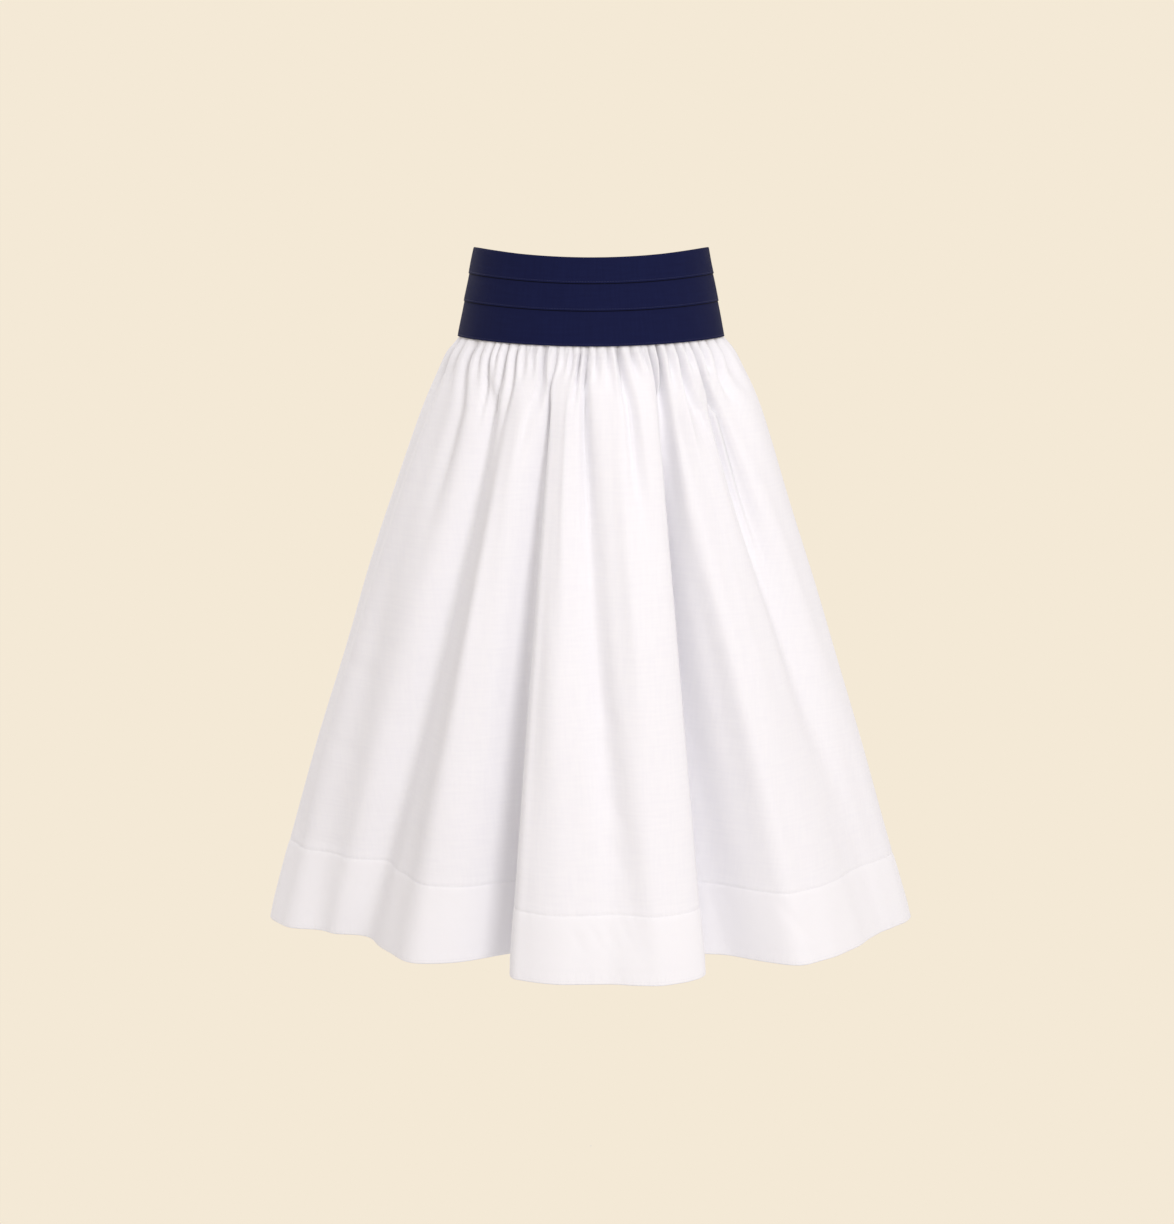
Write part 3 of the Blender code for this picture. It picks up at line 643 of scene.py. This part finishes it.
# Long soft creases down the cloth, each a row of (cloth place, drop, half width and
# height in millimetres). A height over 0 is a ridge and one under 0 a trough.
longCreases = (
    ((0.268, 0.04, 8, 0), (0.268, 0.11, 12, 7), (0.268, 0.24, 19, 11), (0.266, 0.42, 24, 13),
     (0.265, 0.68, 28, 12)),
    ((0.292, 0.06, 6, 0), (0.294, 0.11, 9, -3), (0.296, 0.20, 13, -3), (0.299, 0.30, 18, 0)),
    ((0.326, 0.04, 6, 0), (0.326, 0.10, 11, -6), (0.325, 0.25, 17, -9),
     (0.319, 0.45, 24, -11), (0.318, 0.62, 28, -10), (0.318, 0.72, 30, -9)),
    ((0.350, 0.07, 7, 0), (0.352, 0.16, 10, 5), (0.354, 0.36, 14, 7), (0.355, 0.72, 22, 7)),
    ((0.394, 0.06, 8, 0), (0.391, 0.16, 15, -4), (0.392, 0.32, 18, -4), (0.396, 0.72, 22, -2)),
    ((0.412, 0.08, 8, 0), (0.412, 0.20, 12, 7), (0.413, 0.45, 17, 12), (0.415, 0.72, 20, 13)),
    ((0.452, 0.08, 6, 0), (0.453, 0.20, 9, 3), (0.454, 0.40, 10, 5), (0.455, 0.72, 12, 5)),
    ((0.507, 0.05, 6, 0), (0.5065, 0.11, 8, -6), (0.506, 0.25, 13, -11),
     (0.507, 0.40, 16, -14), (0.510, 0.54, 22, -10), (0.514, 0.68, 26, -2)),
    ((0.535, 0.06, 5, 0), (0.537, 0.12, 8, -4), (0.541, 0.20, 11, -3), (0.542, 0.34, 14, 0)),
    ((0.527, 0.08, 5, 0), (0.528, 0.15, 7, 3), (0.529, 0.30, 9, 4), (0.531, 0.46, 14, 0)),
    ((0.606, 0.04, 8, 0), (0.606, 0.11, 16, -18), (0.607, 0.25, 24, -34),
     (0.609, 0.42, 31, -42), (0.611, 0.60, 37, -37), (0.612, 0.72, 40, -30)),
    ((0.629, 0.08, 8, 0), (0.632, 0.16, 11, 5), (0.643, 0.34, 15, 8), (0.651, 0.54, 20, 9),
     (0.655, 0.72, 24, 8)),
    ((0.701, 0.06, 7, 0), (0.704, 0.12, 12, -7), (0.707, 0.24, 18, -10), (0.710, 0.38, 22, -8),
     (0.714, 0.56, 28, 0)),
    ((0.727, 0.07, 6, 0), (0.728, 0.14, 10, 4), (0.730, 0.30, 15, 5), (0.732, 0.50, 20, 0)),
    ((0.684, 0.08, 8, 0), (0.686, 0.17, 12, 2), (0.690, 0.28, 18, 3), (0.692, 0.44, 22, 0)),
    ((0.733, 0.02, 6, 0), (0.733, 0.08, 9, -3), (0.733, 0.14, 12, 0)),
    ((0.078, 0.06, 8, 0), (0.080, 0.20, 16, -5), (0.083, 0.42, 22, -4), (0.083, 0.60, 26, 0)),
    ((0.182, 0.08, 8, 0), (0.186, 0.26, 16, 4), (0.186, 0.52, 24, 0)),
    ((0.868, 0.05, 8, 0), (0.872, 0.18, 15, -6), (0.876, 0.40, 22, -5), (0.878, 0.66, 28, -2)),
    ((0.944, 0.10, 8, 0), (0.941, 0.28, 16, 4), (0.940, 0.50, 22, 0)),
)
# Short creases and dents: cloth place and drop at both ends, half width and height.
shortCreases = (
    (0.270, 0.344, 0.300, 0.350, 4, -1.2), (0.248, 0.364, 0.292, 0.395, 5, -1.5),
    (0.255, 0.464, 0.295, 0.489, 5, -1.5), (0.262, 0.596, 0.302, 0.587, 4, -1.2),
    (0.502, 0.378, 0.524, 0.448, 5, -1.1), (0.497, 0.404, 0.519, 0.450, 4, 0.9),
    (0.502, 0.480, 0.521, 0.540, 5, -1.2), (0.502, 0.536, 0.520, 0.592, 5, -1.2),
    (0.645, 0.614, 0.664, 0.676, 5, -1.5), (0.343, 0.250, 0.352, 0.330, 5, -1.0),
    (0.660, 0.300, 0.668, 0.390, 6, -1.0), (0.700, 0.520, 0.716, 0.580, 6, -1.2),
    (0.483, 0.632, 0.490, 0.668, 3, -1.0), (0.492, 0.628, 0.499, 0.664, 3, -1.1),
    (0.501, 0.630, 0.507, 0.662, 3, -1.1), (0.510, 0.628, 0.515, 0.656, 3, -0.9),
    (0.611, 0.620, 0.613, 0.660, 3, -0.8), (0.618, 0.620, 0.620, 0.668, 3, -0.9),
    (0.625, 0.620, 0.627, 0.664, 3, -0.8), (0.632, 0.620, 0.634, 0.656, 3, -0.7),
    (0.052, 0.300, 0.086, 0.336, 5, -1.4), (0.118, 0.440, 0.150, 0.462, 5, -1.3),
    (0.196, 0.560, 0.224, 0.548, 4, -1.2), (0.822, 0.350, 0.852, 0.388, 5, -1.4),
    (0.902, 0.480, 0.934, 0.470, 5, -1.3), (0.960, 0.320, 0.982, 0.372, 5, -1.2),
)
creaseFade = 0.35    # share of a short crease's length, at both ends


# 1 on a crease's line, falling beside it by an exponential of the distance.
def creaseBell(offset):
    return np.exp(-np.abs(offset) ** 2.2)


# Relief of the creases. A long one is a bell across a curve, with place, width and
# height read down the cloth from splines; a short one a bell across a straight line,
# faded at both ends.
def creaseRelief(place, drop):
    total = np.zeros(place.shape)
    clothLength = clothRound(drop)
    for row in longCreases:
        knots, values = np.array(row)[:, 1], np.array(row)[:, (0, 2, 3)]
        inside = np.clip(drop, knots[0], knots[-1])
        read = splineRead(knots, values, splineMoments(np.diff(knots), values, False), inside)
        offset = (place - read[..., 0]) * clothLength / (read[..., 1] * mm)
        total += read[..., 2] * mm * creaseBell(offset)
    for startPlace, startDrop, endPlace, endDrop, width, height in shortCreases:
        middle = clothRound((startDrop + endDrop) / 2.0)
        across, along = (endPlace - startPlace) * middle, endDrop - startDrop
        length = math.hypot(across, along)
        right, down = (place - startPlace) * clothLength, drop - startDrop
        share = (right * across + down * along) / length ** 2
        offset = (right * along - down * across) / length / (width * mm)
        ends = smoothStep(share / creaseFade) * smoothStep((1.0 - share) / creaseFade)
        total += height * mm * creaseBell(offset) * ends
    return total


# The soft unevenness of hanging cloth: sines of many directions, longer down the cloth
# than across it, growing from nothing at the seam.
softWaves = {
    "count": 18,
    "height": 0.55 * mm,
    "across": 0.055,
    "down": 0.24,
    "turn": 2.399963,             # between directions, the golden angle: none comes twice
    "sizes": (0.6, 1.5),
    "grownBy": 0.08,
}


def softRelief(place, drop):
    total = np.zeros(np.broadcast(place, drop).shape)
    for number in range(softWaves["count"]):
        turn = softWaves["turn"] * number
        size = blend(*softWaves["sizes"], (number * 0.618034) % 1.0)
        wholeWaves = round(2.0 / (softWaves["across"] * size) * math.cos(turn))
        down = 2.0 * math.pi / (softWaves["down"] * size) * math.sin(turn)
        total += np.sin(2.0 * math.pi * wholeWaves * place + down * drop + 1.7 * number)
    return (total * softWaves["height"] * smoothStep(drop / softWaves["grownBy"])
            / math.sqrt(softWaves["count"] / 2))


# Outer face of the skirt. A cubic spline round the folds gives bearing and relief at
# three levels, which blend down the cloth; gathers, creases and soft waves lie on it.
def skirtPoints(place, drop):
    place, drop = np.broadcast_arrays(np.asarray(place, float), np.asarray(drop, float))
    around = np.clip(place, 0.0, 1.0)
    fraction = drop / skirtLength
    leadRows = splineRead(places, closeRound(leads), closeRound(leadMoments), around)
    reliefRows = splineRead(places, closeRound(foldReliefs), closeRound(reliefMoments), around)
    folded = 360.0 * around - 180.0 + (leadRows * levelWeights(fraction, 0.0)).sum(axis=-1)
    settled = smoothStep(fraction / 0.12)
    atSeam = np.interp(around, places, seamBearings)
    bearing = atSeam + (folded - atSeam) * settled
    relief = (reliefRows * levelWeights(fraction, 0.12)).sum(axis=-1) * settled
    relief = relief - gatherRelief(around, drop) + creaseRelief(around, drop)
    relief = relief + softRelief(around, drop)
    halfWidth, halfDepth = sectionHalves(drop)
    sine, cosine = np.sin(np.radians(bearing)), np.cos(np.radians(bearing))
    outX, outY = halfDepth * sine, -halfWidth * cosine
    length = np.hypot(outX, outY)
    top = band["topZ"] - band["height"] - skirt["seamGap"] - bandDip(atSeam, 1.0)
    return np.stack((halfWidth * sine + relief * outX / length,
                     -halfDepth * cosine + relief * outY / length,
                     top + (skirt["hemZ"] - top) * fraction), axis=-1)


# Outward directions: the cross product of small steps down and round.
def skirtNormals(place, drop):
    step = 2e-5
    low, high = np.clip(place - step, 0.0, 1.0), np.clip(place + step, 0.0, 1.0)
    across = skirtPoints(high, drop) - skirtPoints(low, drop)
    down = skirtPoints(place, drop + step) - skirtPoints(place, drop - step)
    return unit(np.cross(down, across))


# Rows of points as drops: close where the gathers are, and on both sides of the hem's
# sewing line, where they are millimetres from it.
rowBands = ((0.016, 15), (0.075, 26), (0.200, 30))     # the end of each, and its rows
sewingRows = (-10.0, -6.0, -3.5, -2.0, -1.0, -0.2, 0.4, 1.2, 2.5, 4.5, 8.0)


def rowDrops():
    sewn = skirtLength - skirt["hemDepth"]
    start, rows = -skirt["tuckUp"], []
    for end, count in (*rowBands, (sewn - 0.010, 46)):
        rows.append(np.linspace(start, end, count, endpoint=False))
        start = end
    return np.concatenate((*rows, sewn + np.array(sewingRows) * mm,
                           np.linspace(sewn + 0.014, skirtLength - 0.001, 12), [skirtLength]))


# The hem hangs a little unevenly: cloth place, and how much lower its sewing lies there.
hemWander = ((0.0, 0.0), (0.12, 0.004), (0.20, -0.008), (0.24, -0.015), (0.32, -0.012),
             (0.40, -0.004), (0.46, 0.006), (0.56, 0.007), (0.61, 0.0), (0.76, 0.0),
             (0.90, 0.004), (1.0, 0.0))
hemHang = {"aboveSewing": 0.10, "growth": 0.09, "edgeFade": 0.07}


# Drops of the hanging cloth for its flat levels: the wandering of the hem fades out
# above the sewing and at the edge.
def hangingDrop(place, level):
    knots = np.array(hemWander)
    start = skirtLength - skirt["hemDepth"] - hemHang["aboveSewing"]
    near = smoothStep((level - start) / hemHang["growth"])
    return level + np.interp(place, knots[:, 0], knots[:, 1]) * near * smoothStep(
        (skirtLength - level) / hemHang["edgeFade"])


# Cut width of the cloth at a drop, for the flat coordinates of the weave.
cutWidth = {"top": 1.30, "hem": 2.41}

# Columns lie closer together at the two lips of the centre fold.
foldLips = {"places": (0.428, 0.585), "reach": 0.022, "closer": 1.6}


# Places of a panel's columns, at even steps of a density with a bell at each lip.
def columnPlaces(start, end, columns):
    fine = np.linspace(start, end, 2001)
    weight = np.ones_like(fine)
    for lip in foldLips["places"]:
        weight += foldLips["closer"] * np.exp(-((fine - lip) / foldLips["reach"]) ** 2)
    share = np.concatenate(([0.0], np.cumsum((weight[1:] + weight[:-1]) / 2.0)))
    return np.interp(np.linspace(0.0, share[-1], columns), share, fine)


# A panel's wall: its outer face with the hem's groove and swell, and the inner face a
# cloth's thickness inside it, or two below the hem's sewing. Its edges leave the seam
# open by a hair and sink into it.
def skirtPanel(name, node, start, end, columns):
    place, level = np.meshgrid(columnPlaces(start, end, columns), rowDrops())
    drop = hangingDrop(place, level)
    outer, normals = skirtPoints(place, drop), skirtNormals(place, drop)
    belowSewing, aboveEdge = level - (skirtLength - skirt["hemDepth"]), skirtLength - level
    double = smoothStep(belowSewing / skirt["hemFold"] + 0.5)
    wall = blend(skirt["cloth"], skirt["hemCloth"], double)
    groove = np.exp(-(belowSewing / skirt["grooveWidth"]) ** 2) * skirt["hemGroove"]
    swell = smoothStep(belowSewing / skirt["swellFade"][0]) * smoothStep(
        aboveEdge / skirt["swellFade"][1])
    outer = outer + normals * (swell * skirt["hemSwell"] - groove)[..., None]
    inner = outer - normals * wall[..., None]
    inner[-1, :, 2] = outer[-1, :, 2]
    for side in (0, -1):
        sink = skirt["seamSink"] * smoothStep(
            (level[:, :1] - skirt["sinkFrom"]) / skirt["sinkFade"])
        shift = intoGrid(outer, side) * skirt["seamOpen"] / 2.0 - normals[:, side] * sink
        outer[:, side] += shift
        inner[:, side] += shift
    width = blend(cutWidth["top"], cutWidth["hem"], level / skirtLength)
    flat = np.stack(((place - 0.5) * width, -level), axis=-1)
    piece = wallPiece(name, outer, inner, whiteCotton, flat)
    shade = gatherShade(place, drop)
    shade = np.concatenate((shade, shade[-1:], shade[::-1]))
    layer = piece.data.attributes.new("foldShade", "FLOAT", "POINT")
    layer.data.foreach_set("value", shade.astype(np.float32).ravel())
    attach(piece, "garment")
    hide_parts(node)


skirtPanel("skirtFront", "skirt_front", sideLeftPlace, sideRightPlace, skirt["columns"]["front"])
skirtPanel("skirtBackLeft", "skirt_back_left", 0.0, sideLeftPlace, skirt["columns"]["back"])
skirtPanel("skirtBackRight", "skirt_back_right", sideRightPlace, 1.0, skirt["columns"]["back"])
print("stage: skirt made")


# Slow uneven waves of the waistband: turn for each degree round and each metre down, and
# where they start.
bandWaves = ((0.11, 60.0, 0.0), (0.27, -95.0, 2.0), (0.05, 150.0, 4.0))


# Points of the waistband at a distance down from its top edge and out from its face,
# on an oval that widens downward, with the waves.
def bandRing(bearing, down, outward):
    share = down / band["height"]
    wave = sum(np.sin(turn * bearing + fall * down + start) for turn, fall, start in bandWaves)
    wave = wave * band["unevenness"] / len(bandWaves)
    out, angle = outward + wave, np.radians(bearing)
    halfWidth, halfDepth = (blend(top, bottom, share) + out
                            for top, bottom in zip(band["topHalf"], band["bottomHalf"]))
    return np.stack((halfWidth * np.sin(angle), -halfDepth * np.cos(angle),
                     band["topZ"] - down - bandDip(bearing, share)), axis=-1)


# Two profiles of a tier in millimetres: the groove of its sewing, below the row and in
# from the face, and its folded edge, above the edge and in from the face.
tierGroove = ((-0.8, 0.06), (0.0, 0.22), (0.8, 0.02))
tierFold = ((0.35, 0.0), (0.08, 0.18), (0.0, 0.40), (0.10, 0.66))


# Section of a tier as (down, outward) points in a closed loop: its face with a shallow
# groove along the sewing, the folded lower edge, the notch that the next piece goes up
# into, and the inner face. The top is a rounded edge, or hides behind the tier above.
def tierSection(top, height, isTop):
    bottom = top + height
    step, wall, lap = band["lapStep"], band["wall"], band["lapDepth"]
    first = top if isTop else top - lap + 0.3 * mm
    start = [(first + 0.9 * mm, 0.0)] if isTop else [(first, -0.15 * mm), (top, -0.1 * mm)]
    sewn = bottom - band["stitchUp"]
    long = sewn - 1.6 * mm - top
    face = [(top + long * share, step * share * long / height)
            for share in np.linspace(0.08, 1.0, 12)]
    sewing = [(sewn + shift * mm, step * band["stitchOut"] - sink * mm)
              for shift, sink in tierGroove]
    fold = [(bottom - up * mm, step - sink * mm) for up, sink in tierFold]
    fold.append((bottom - 0.4 * mm, step - band["lapWall"]))
    notch = [(bottom - lap, step - band["lapWall"]), (bottom - lap, -wall)]
    inside = [(blend(bottom - lap, first + 0.9 * mm, share), -wall)
              for share in (0.33, 0.67, 1.0)]
    close = [(first + 0.25 * mm, -wall + 0.3 * mm), (first, -wall / 2.0),
             (first + 0.25 * mm, -0.3 * mm)] if isTop else [(first, -wall)]
    return np.array(start + face + sewing + fold + notch + inside + close)


# A tier: its section carried round the oval, with both ends filled.
def bandTier(name, node, bearings, section):
    down = section[:, 0][:, None] + 0.0 * bearings[None]
    points = bandRing(bearings[None] + 0.0 * down, down, section[:, 1][:, None])
    for side in (0, -1):
        points[:, side] += intoGrid(points, side) * skirt["seamOpen"] / 2.0
    rows, columns = points.shape[:2]
    faces = gridQuads(rows, columns, True).tolist()
    faces.append((np.arange(rows)[::-1] * columns).tolist())
    faces.append((np.arange(rows) * columns + columns - 1).tolist())
    flat = np.stack((np.radians(bearings)[None] * band["bottomHalf"][0] + 0.0 * down, -down),
                    axis=-1)
    piece = meshPiece(name, points, faces, navyCotton, flat, sharpAngle=55.0)
    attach(piece, "garment")
    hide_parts(node)


def waistband():
    sides = (("Front", "front", np.linspace(-90.0, 90.0, 181)),
             ("BackLeft", "back_left", np.linspace(-180.0, -90.0, 91)),
             ("BackRight", "back_right", np.linspace(90.0, 180.0, 91)))
    top = 0.0
    for tier, height in band["tiers"]:
        section = tierSection(top, height, top == 0.0)
        for side, nodeSide, bearings in sides:
            bandTier("waistband" + side + tier, f"waistband_{nodeSide}_{tier.lower()}",
                     bearings, section)
        top += height


waistband()
print("stage: waistband made")


# Stitches, each a small spindle bowed out of the cloth, and the spindle's rings: shares
# of its length, and of its radius.
stitch = {
    "length": 2.2 * mm,
    "gap": 0.9 * mm,
    "radius": 0.22 * mm,
    "bow": 0.21 * mm,
    "lift": 0.05 * mm,            # of the waistband's stitches over the cloth
    "hemLift": -0.02 * mm,
    "bandPoints": 1400,           # points of the lines that the stitches follow
    "hemPoints": 4200,
    "backClear": 0.6,             # degrees at the centre back
    "hemEdge": 3.2 * mm,          # second row of the hem, above its edge
}
spindle = {"sides": 6, "along": (0.0, 0.3, 0.7, 1.0), "widths": (0.35, 1.0, 1.0, 0.35)}


# Distances travelled along a line of points.
def travel(line):
    steps = np.linalg.norm(np.diff(line, axis=0), axis=1)
    return np.concatenate(([0.0], np.cumsum(steps)))


# Values along a line at distances travelled.
def readLine(travelled, values, at):
    return np.stack([np.interp(at, travelled, values[:, axis]) for axis in range(3)], axis=-1)


# One joined mesh of stitches along a line of points on the cloth.
def stitchRow(name, line, outward, material, lift):
    travelled = travel(line)
    pitch = stitch["length"] + stitch["gap"]
    starts = np.arange(pitch / 2.0, travelled[-1] - pitch, pitch)
    along = starts[:, None] + np.array(spindle["along"]) * stitch["length"]
    centre, out = readLine(travelled, line, along), unit(readLine(travelled, outward, along))
    bow = stitch["bow"] * np.array([1.0, 0.0, 0.0, 1.0])[None, :, None]
    spindles(name, centre + out * (lift - bow), out, stitch["radius"], material)


# One joined mesh of spindles, each a ring of points round every point of its centre
# line, narrow at both ends.
def spindles(name, centre, out, radius, material):
    side = unit(np.cross(unit(centre[:, -1:] - centre[:, :1]) + 0.0 * centre, out))
    sides, rings = spindle["sides"], len(spindle["along"])
    angle = np.linspace(0.0, 2.0 * math.pi, sides, endpoint=False)[None, None, :, None]
    widths = radius * np.array(spindle["widths"])[None, :, None, None]
    ring = (out[:, :, None] * np.cos(angle) + side[:, :, None] * np.sin(angle)) * widths
    index = np.arange(rings * sides).reshape(rings, sides)
    turned = np.roll(index, -1, axis=1)
    one = np.stack((index[:-1], index[1:], turned[1:], turned[:-1]), axis=-1).reshape(-1, 4)
    faces = np.arange(len(centre))[:, None, None] * rings * sides + one[None]
    piece = meshPiece(name, centre[:, :, None] + ring, faces.reshape(-1, 4).tolist(), material)
    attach(piece, "garment")


# Stitching of the waistband: a line round at the groove of each tier.
def bandStitches():
    limit = 180.0 - stitch["backClear"]
    bearings = np.linspace(-limit, limit, stitch["bandPoints"])
    angle = np.radians(bearings)
    out = np.stack((np.sin(angle), -np.cos(angle), 0.0 * angle), axis=-1)
    top = 0.0
    for tier, height in band["tiers"]:
        top += height
        line = bandRing(bearings, np.full_like(bearings, top - band["stitchUp"]),
                        band["lapStep"] * band["stitchOut"] - 0.2 * mm)
        stitchRow("bandStitches" + tier, line, out, navyThread, stitch["lift"])


# Stitching of the hem: one row at the top of the turned-up cloth, one near its edge.
def hemStitches():
    place = np.linspace(0.0005, 0.9995, stitch["hemPoints"])
    for name, level, groove in (
            ("hemStitches", skirtLength - skirt["hemDepth"], skirt["hemGroove"]),
            ("hemEdgeStitches", skirtLength - stitch["hemEdge"], 0.0)):
        drops = hangingDrop(place, np.full_like(place, level))
        line, out = skirtPoints(place, drops), skirtNormals(place, drops)
        stitchRow(name, line - out * groove, out, whiteThread,
                  stitch["hemLift"])


bandStitches()
hemStitches()
print("stage: stitches made")


# The zip's two woven tapes, on the inner face beside the centre back seam, and its coil.
zipParts = {
    "tapeWidth": 12.5 * mm,
    "tapeColumns": 9,
    "tapeTop": 4.0 * mm,         # below the waistband's top edge
    "tapeWall": 0.7 * mm,
    "bandRows": 26,
    "skirtRows": 30,
    "rowStep": 4.0 * mm,         # of the weave's flat coordinates
    "gap": 0.6 * mm,
    "bottomDrop": 0.125,
    "teethFrom": 0.014,          # down the tapes from their top, below the slider
    "toothStep": 1.1 * mm,       # between teeth, which come by turns from the two tapes
    "toothRadius": 0.42 * mm,
    "toothReach": (-0.5 * mm, 1.8 * mm),     # past the middle, and back over its own tape
}


# A tape from rows of points on the inner faces of the waistband and then of the skirt.
# Its middle edge, with the inward directions there, is given for the teeth.
def zipTape(name, node, side):
    columns = zipParts["tapeColumns"]
    across = np.linspace(skirt["seamGap"] / 2.0, zipParts["tapeWidth"], columns)
    bearing = side * (180.0 - np.degrees(across / band["topHalf"][0]))
    rows = [bandRing(bearing, np.full(columns, down), -band["wall"])
            for down in np.linspace(zipParts["tapeTop"], band["height"] - 0.5 * mm,
                                    zipParts["bandRows"])]
    seam = 1.0 if side > 0 else 0.0
    for drop in np.linspace(4.0 * mm, zipParts["bottomDrop"], zipParts["skirtRows"]):
        step = skirtPoints(np.array([seam, seam - side * 0.001]), np.full(2, drop))
        where = seam - side * 0.001 * across / np.linalg.norm(step[1] - step[0])
        drops = np.full(columns, drop)
        rows.append(skirtPoints(where, drops) - skirtNormals(where, drops) * skirt["cloth"])
    face = np.array(rows)
    inward = unit(np.cross(np.gradient(face, axis=0), np.gradient(face, axis=1)) * side)
    outer = face + inward * zipParts["gap"]
    inner = outer + inward * zipParts["tapeWall"]
    for layer in (outer, inner):
        layer[:, 0, 0] = side * skirt["seamGap"] / 2.0
    edge, out = inner[:, 0].copy(), inward[:, 0].copy()
    flat = np.stack(np.meshgrid(across, np.arange(len(rows)) * zipParts["rowStep"]), axis=-1)
    if side > 0:
        outer, inner, flat = outer[:, ::-1], inner[:, ::-1], flat[:, ::-1]
    piece = wallPiece(name, outer, inner, tapeCotton, flat)
    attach(piece, "garment")
    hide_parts(node)
    return edge, out


# The closed coil on the inside: loops that come by turns from the left and right tape
# and lap over the middle.
def zipTeeth(edge, inward):
    travelled, step, radius = travel(edge), zipParts["toothStep"], zipParts["toothRadius"]
    at = np.arange(zipParts["teethFrom"], travelled[-1] - step, step)
    side = np.where(np.arange(len(at)) % 2 == 0, 1.0, -1.0)
    out = unit(readLine(travelled, inward, at))
    centre = readLine(travelled, edge, at) + out * radius * 0.8
    reach = blend(*zipParts["toothReach"], np.array(spindle["along"]))
    centre = np.repeat(centre[:, None], len(reach), axis=1)
    centre[:, :, 0] = side[:, None] * reach[None]
    out = np.repeat(out[:, None], len(reach), axis=1)
    spindles("zipTeeth", centre, out, radius, nylonCoil)


zipTape("zipTapeLeft", "zip_tape_left", -1)
zipTeeth(*zipTape("zipTapeRight", "zip_tape_right", 1))
for node in ("zip_slider", "zip_pull"):
    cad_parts[node].data.materials.clear()
    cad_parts[node].data.materials.append(nickel)
print("stage: zip made")


# Studio: a pale floor and surrounding of the photo's ground colour, neutral soft light
# from above and from under the floor's level, and a large soft key from the right front.
studio = {
    "ground": "#F4E9D6",
    "floorZ": -1.05,
    "floorRadius": 14.0,
    "floorSides": 96,
    "underColour": "#FFFAFD",
    "underStrength": 0.67,
    "underHeights": (-0.16, -0.10),    # the ground colour takes over between these
    "skyColour": "#FFFBFE",
    "skyStrength": 0.76,
    "skyHeights": (0.24, 0.34),        # and the sky between these
    "lampColour": "#FFFCFE",
    "target": (0.0, 0.0, -0.3),
}
# Round lamps: the key, and one that shows the folds of the back, where no key reaches.
lamps = {
    "keyLight": {"place": (1.2, -3.0, 1.1), "size": 1.2, "power": 44.0},
    "backLight": {"place": (-2.0, 2.6, 1.5), "size": 1.4, "power": 26.0},
}


def floorDisc():
    paper = newMaterial("pale seamless paper", {
        "Base Color": (0.0, 0.0, 0.0, 1.0), "Roughness": 1.0, "Specular IOR Level": 0.0,
        "Emission Color": hexColour(studio["ground"]), "Emission Strength": 1.0})[0]
    sides = studio["floorSides"]
    angle = np.linspace(0.0, 2.0 * math.pi, sides, endpoint=False)
    radii = np.array([0.001, studio["floorRadius"]])
    points = np.stack((np.outer(radii, np.cos(angle)), np.outer(radii, np.sin(angle)),
                       np.full((2, sides), studio["floorZ"])), axis=-1)
    index = np.arange(2 * sides).reshape(2, sides)
    turned = np.roll(index, -1, axis=1)
    faces = np.stack((index[0], index[1], turned[1], turned[0]), axis=-1)
    piece = meshPiece("studioFloor", points, faces.tolist(), paper)
    piece.visible_diffuse = False       # its colour doesn't tint the cloth


# A colour times the strength of its light.
def litColour(text, strength):
    return tuple(np.array(hexColour(text)) * strength)


# World light by height: neutral light from under the floor's horizon, the ground colour
# up to over the picture's top, then the sky.
def worldLight():
    world = bpy.data.worlds.new("studio surround")
    bpy.context.scene.world = world
    world.use_nodes = True
    tree = world.node_tree
    place = addNode(tree, "ShaderNodeTexCoord").outputs["Generated"]
    height = addNode(tree, "ShaderNodeSeparateXYZ", None, {0: place}).outputs["Z"]
    upper = mixColour(tree, ramp(tree, height, *studio["skyHeights"], soft=True),
                      hexColour(studio["ground"]),
                      litColour(studio["skyColour"], studio["skyStrength"]))
    whole = mixColour(tree, ramp(tree, height, *studio["underHeights"], soft=True),
                      litColour(studio["underColour"], studio["underStrength"]), upper)
    tree.links.new(whole, tree.nodes["Background"].inputs["Color"])


# A lamp turned toward the studio's target.
def diskLamp(name, values):
    light = bpy.data.lights.new(name, "AREA")
    light.shape = "DISK"
    light.size = values["size"]
    light.energy = values["power"]
    light.color = hexColour(studio["lampColour"])[:3]
    piece = bpy.data.objects.new(name, light)
    piece.location = values["place"]
    aim = np.array(studio["target"]) - np.array(values["place"])
    piece.rotation_euler = (math.atan2(math.hypot(aim[0], aim[1]), -aim[2]), 0.0,
                            math.atan2(-aim[0], aim[1]))
    bpy.context.scene.collection.objects.link(piece)


floorDisc()
worldLight()
for name, values in lamps.items():
    diskLamp(name, values)

# Camera at the photo's place: level with the waistband's top edge, looking down a little.
cameraView = {"place": (-0.0048, -2.6, 0.051), "down": 9.374, "lens": 65.03, "sensor": 36.0}
camera = bpy.data.cameras.new("camera")
camera.lens = cameraView["lens"]
camera.sensor_width = cameraView["sensor"]
cameraPiece = bpy.data.objects.new("camera", camera)
cameraPiece.location = cameraView["place"]
cameraPiece.rotation_euler = (math.radians(90.0 - cameraView["down"]), 0.0, 0.0)
bpy.context.scene.collection.objects.link(cameraPiece)
bpy.context.scene.camera = cameraPiece
bpy.context.scene.view_settings.view_transform = "Standard"
print("stage: studio and camera made")
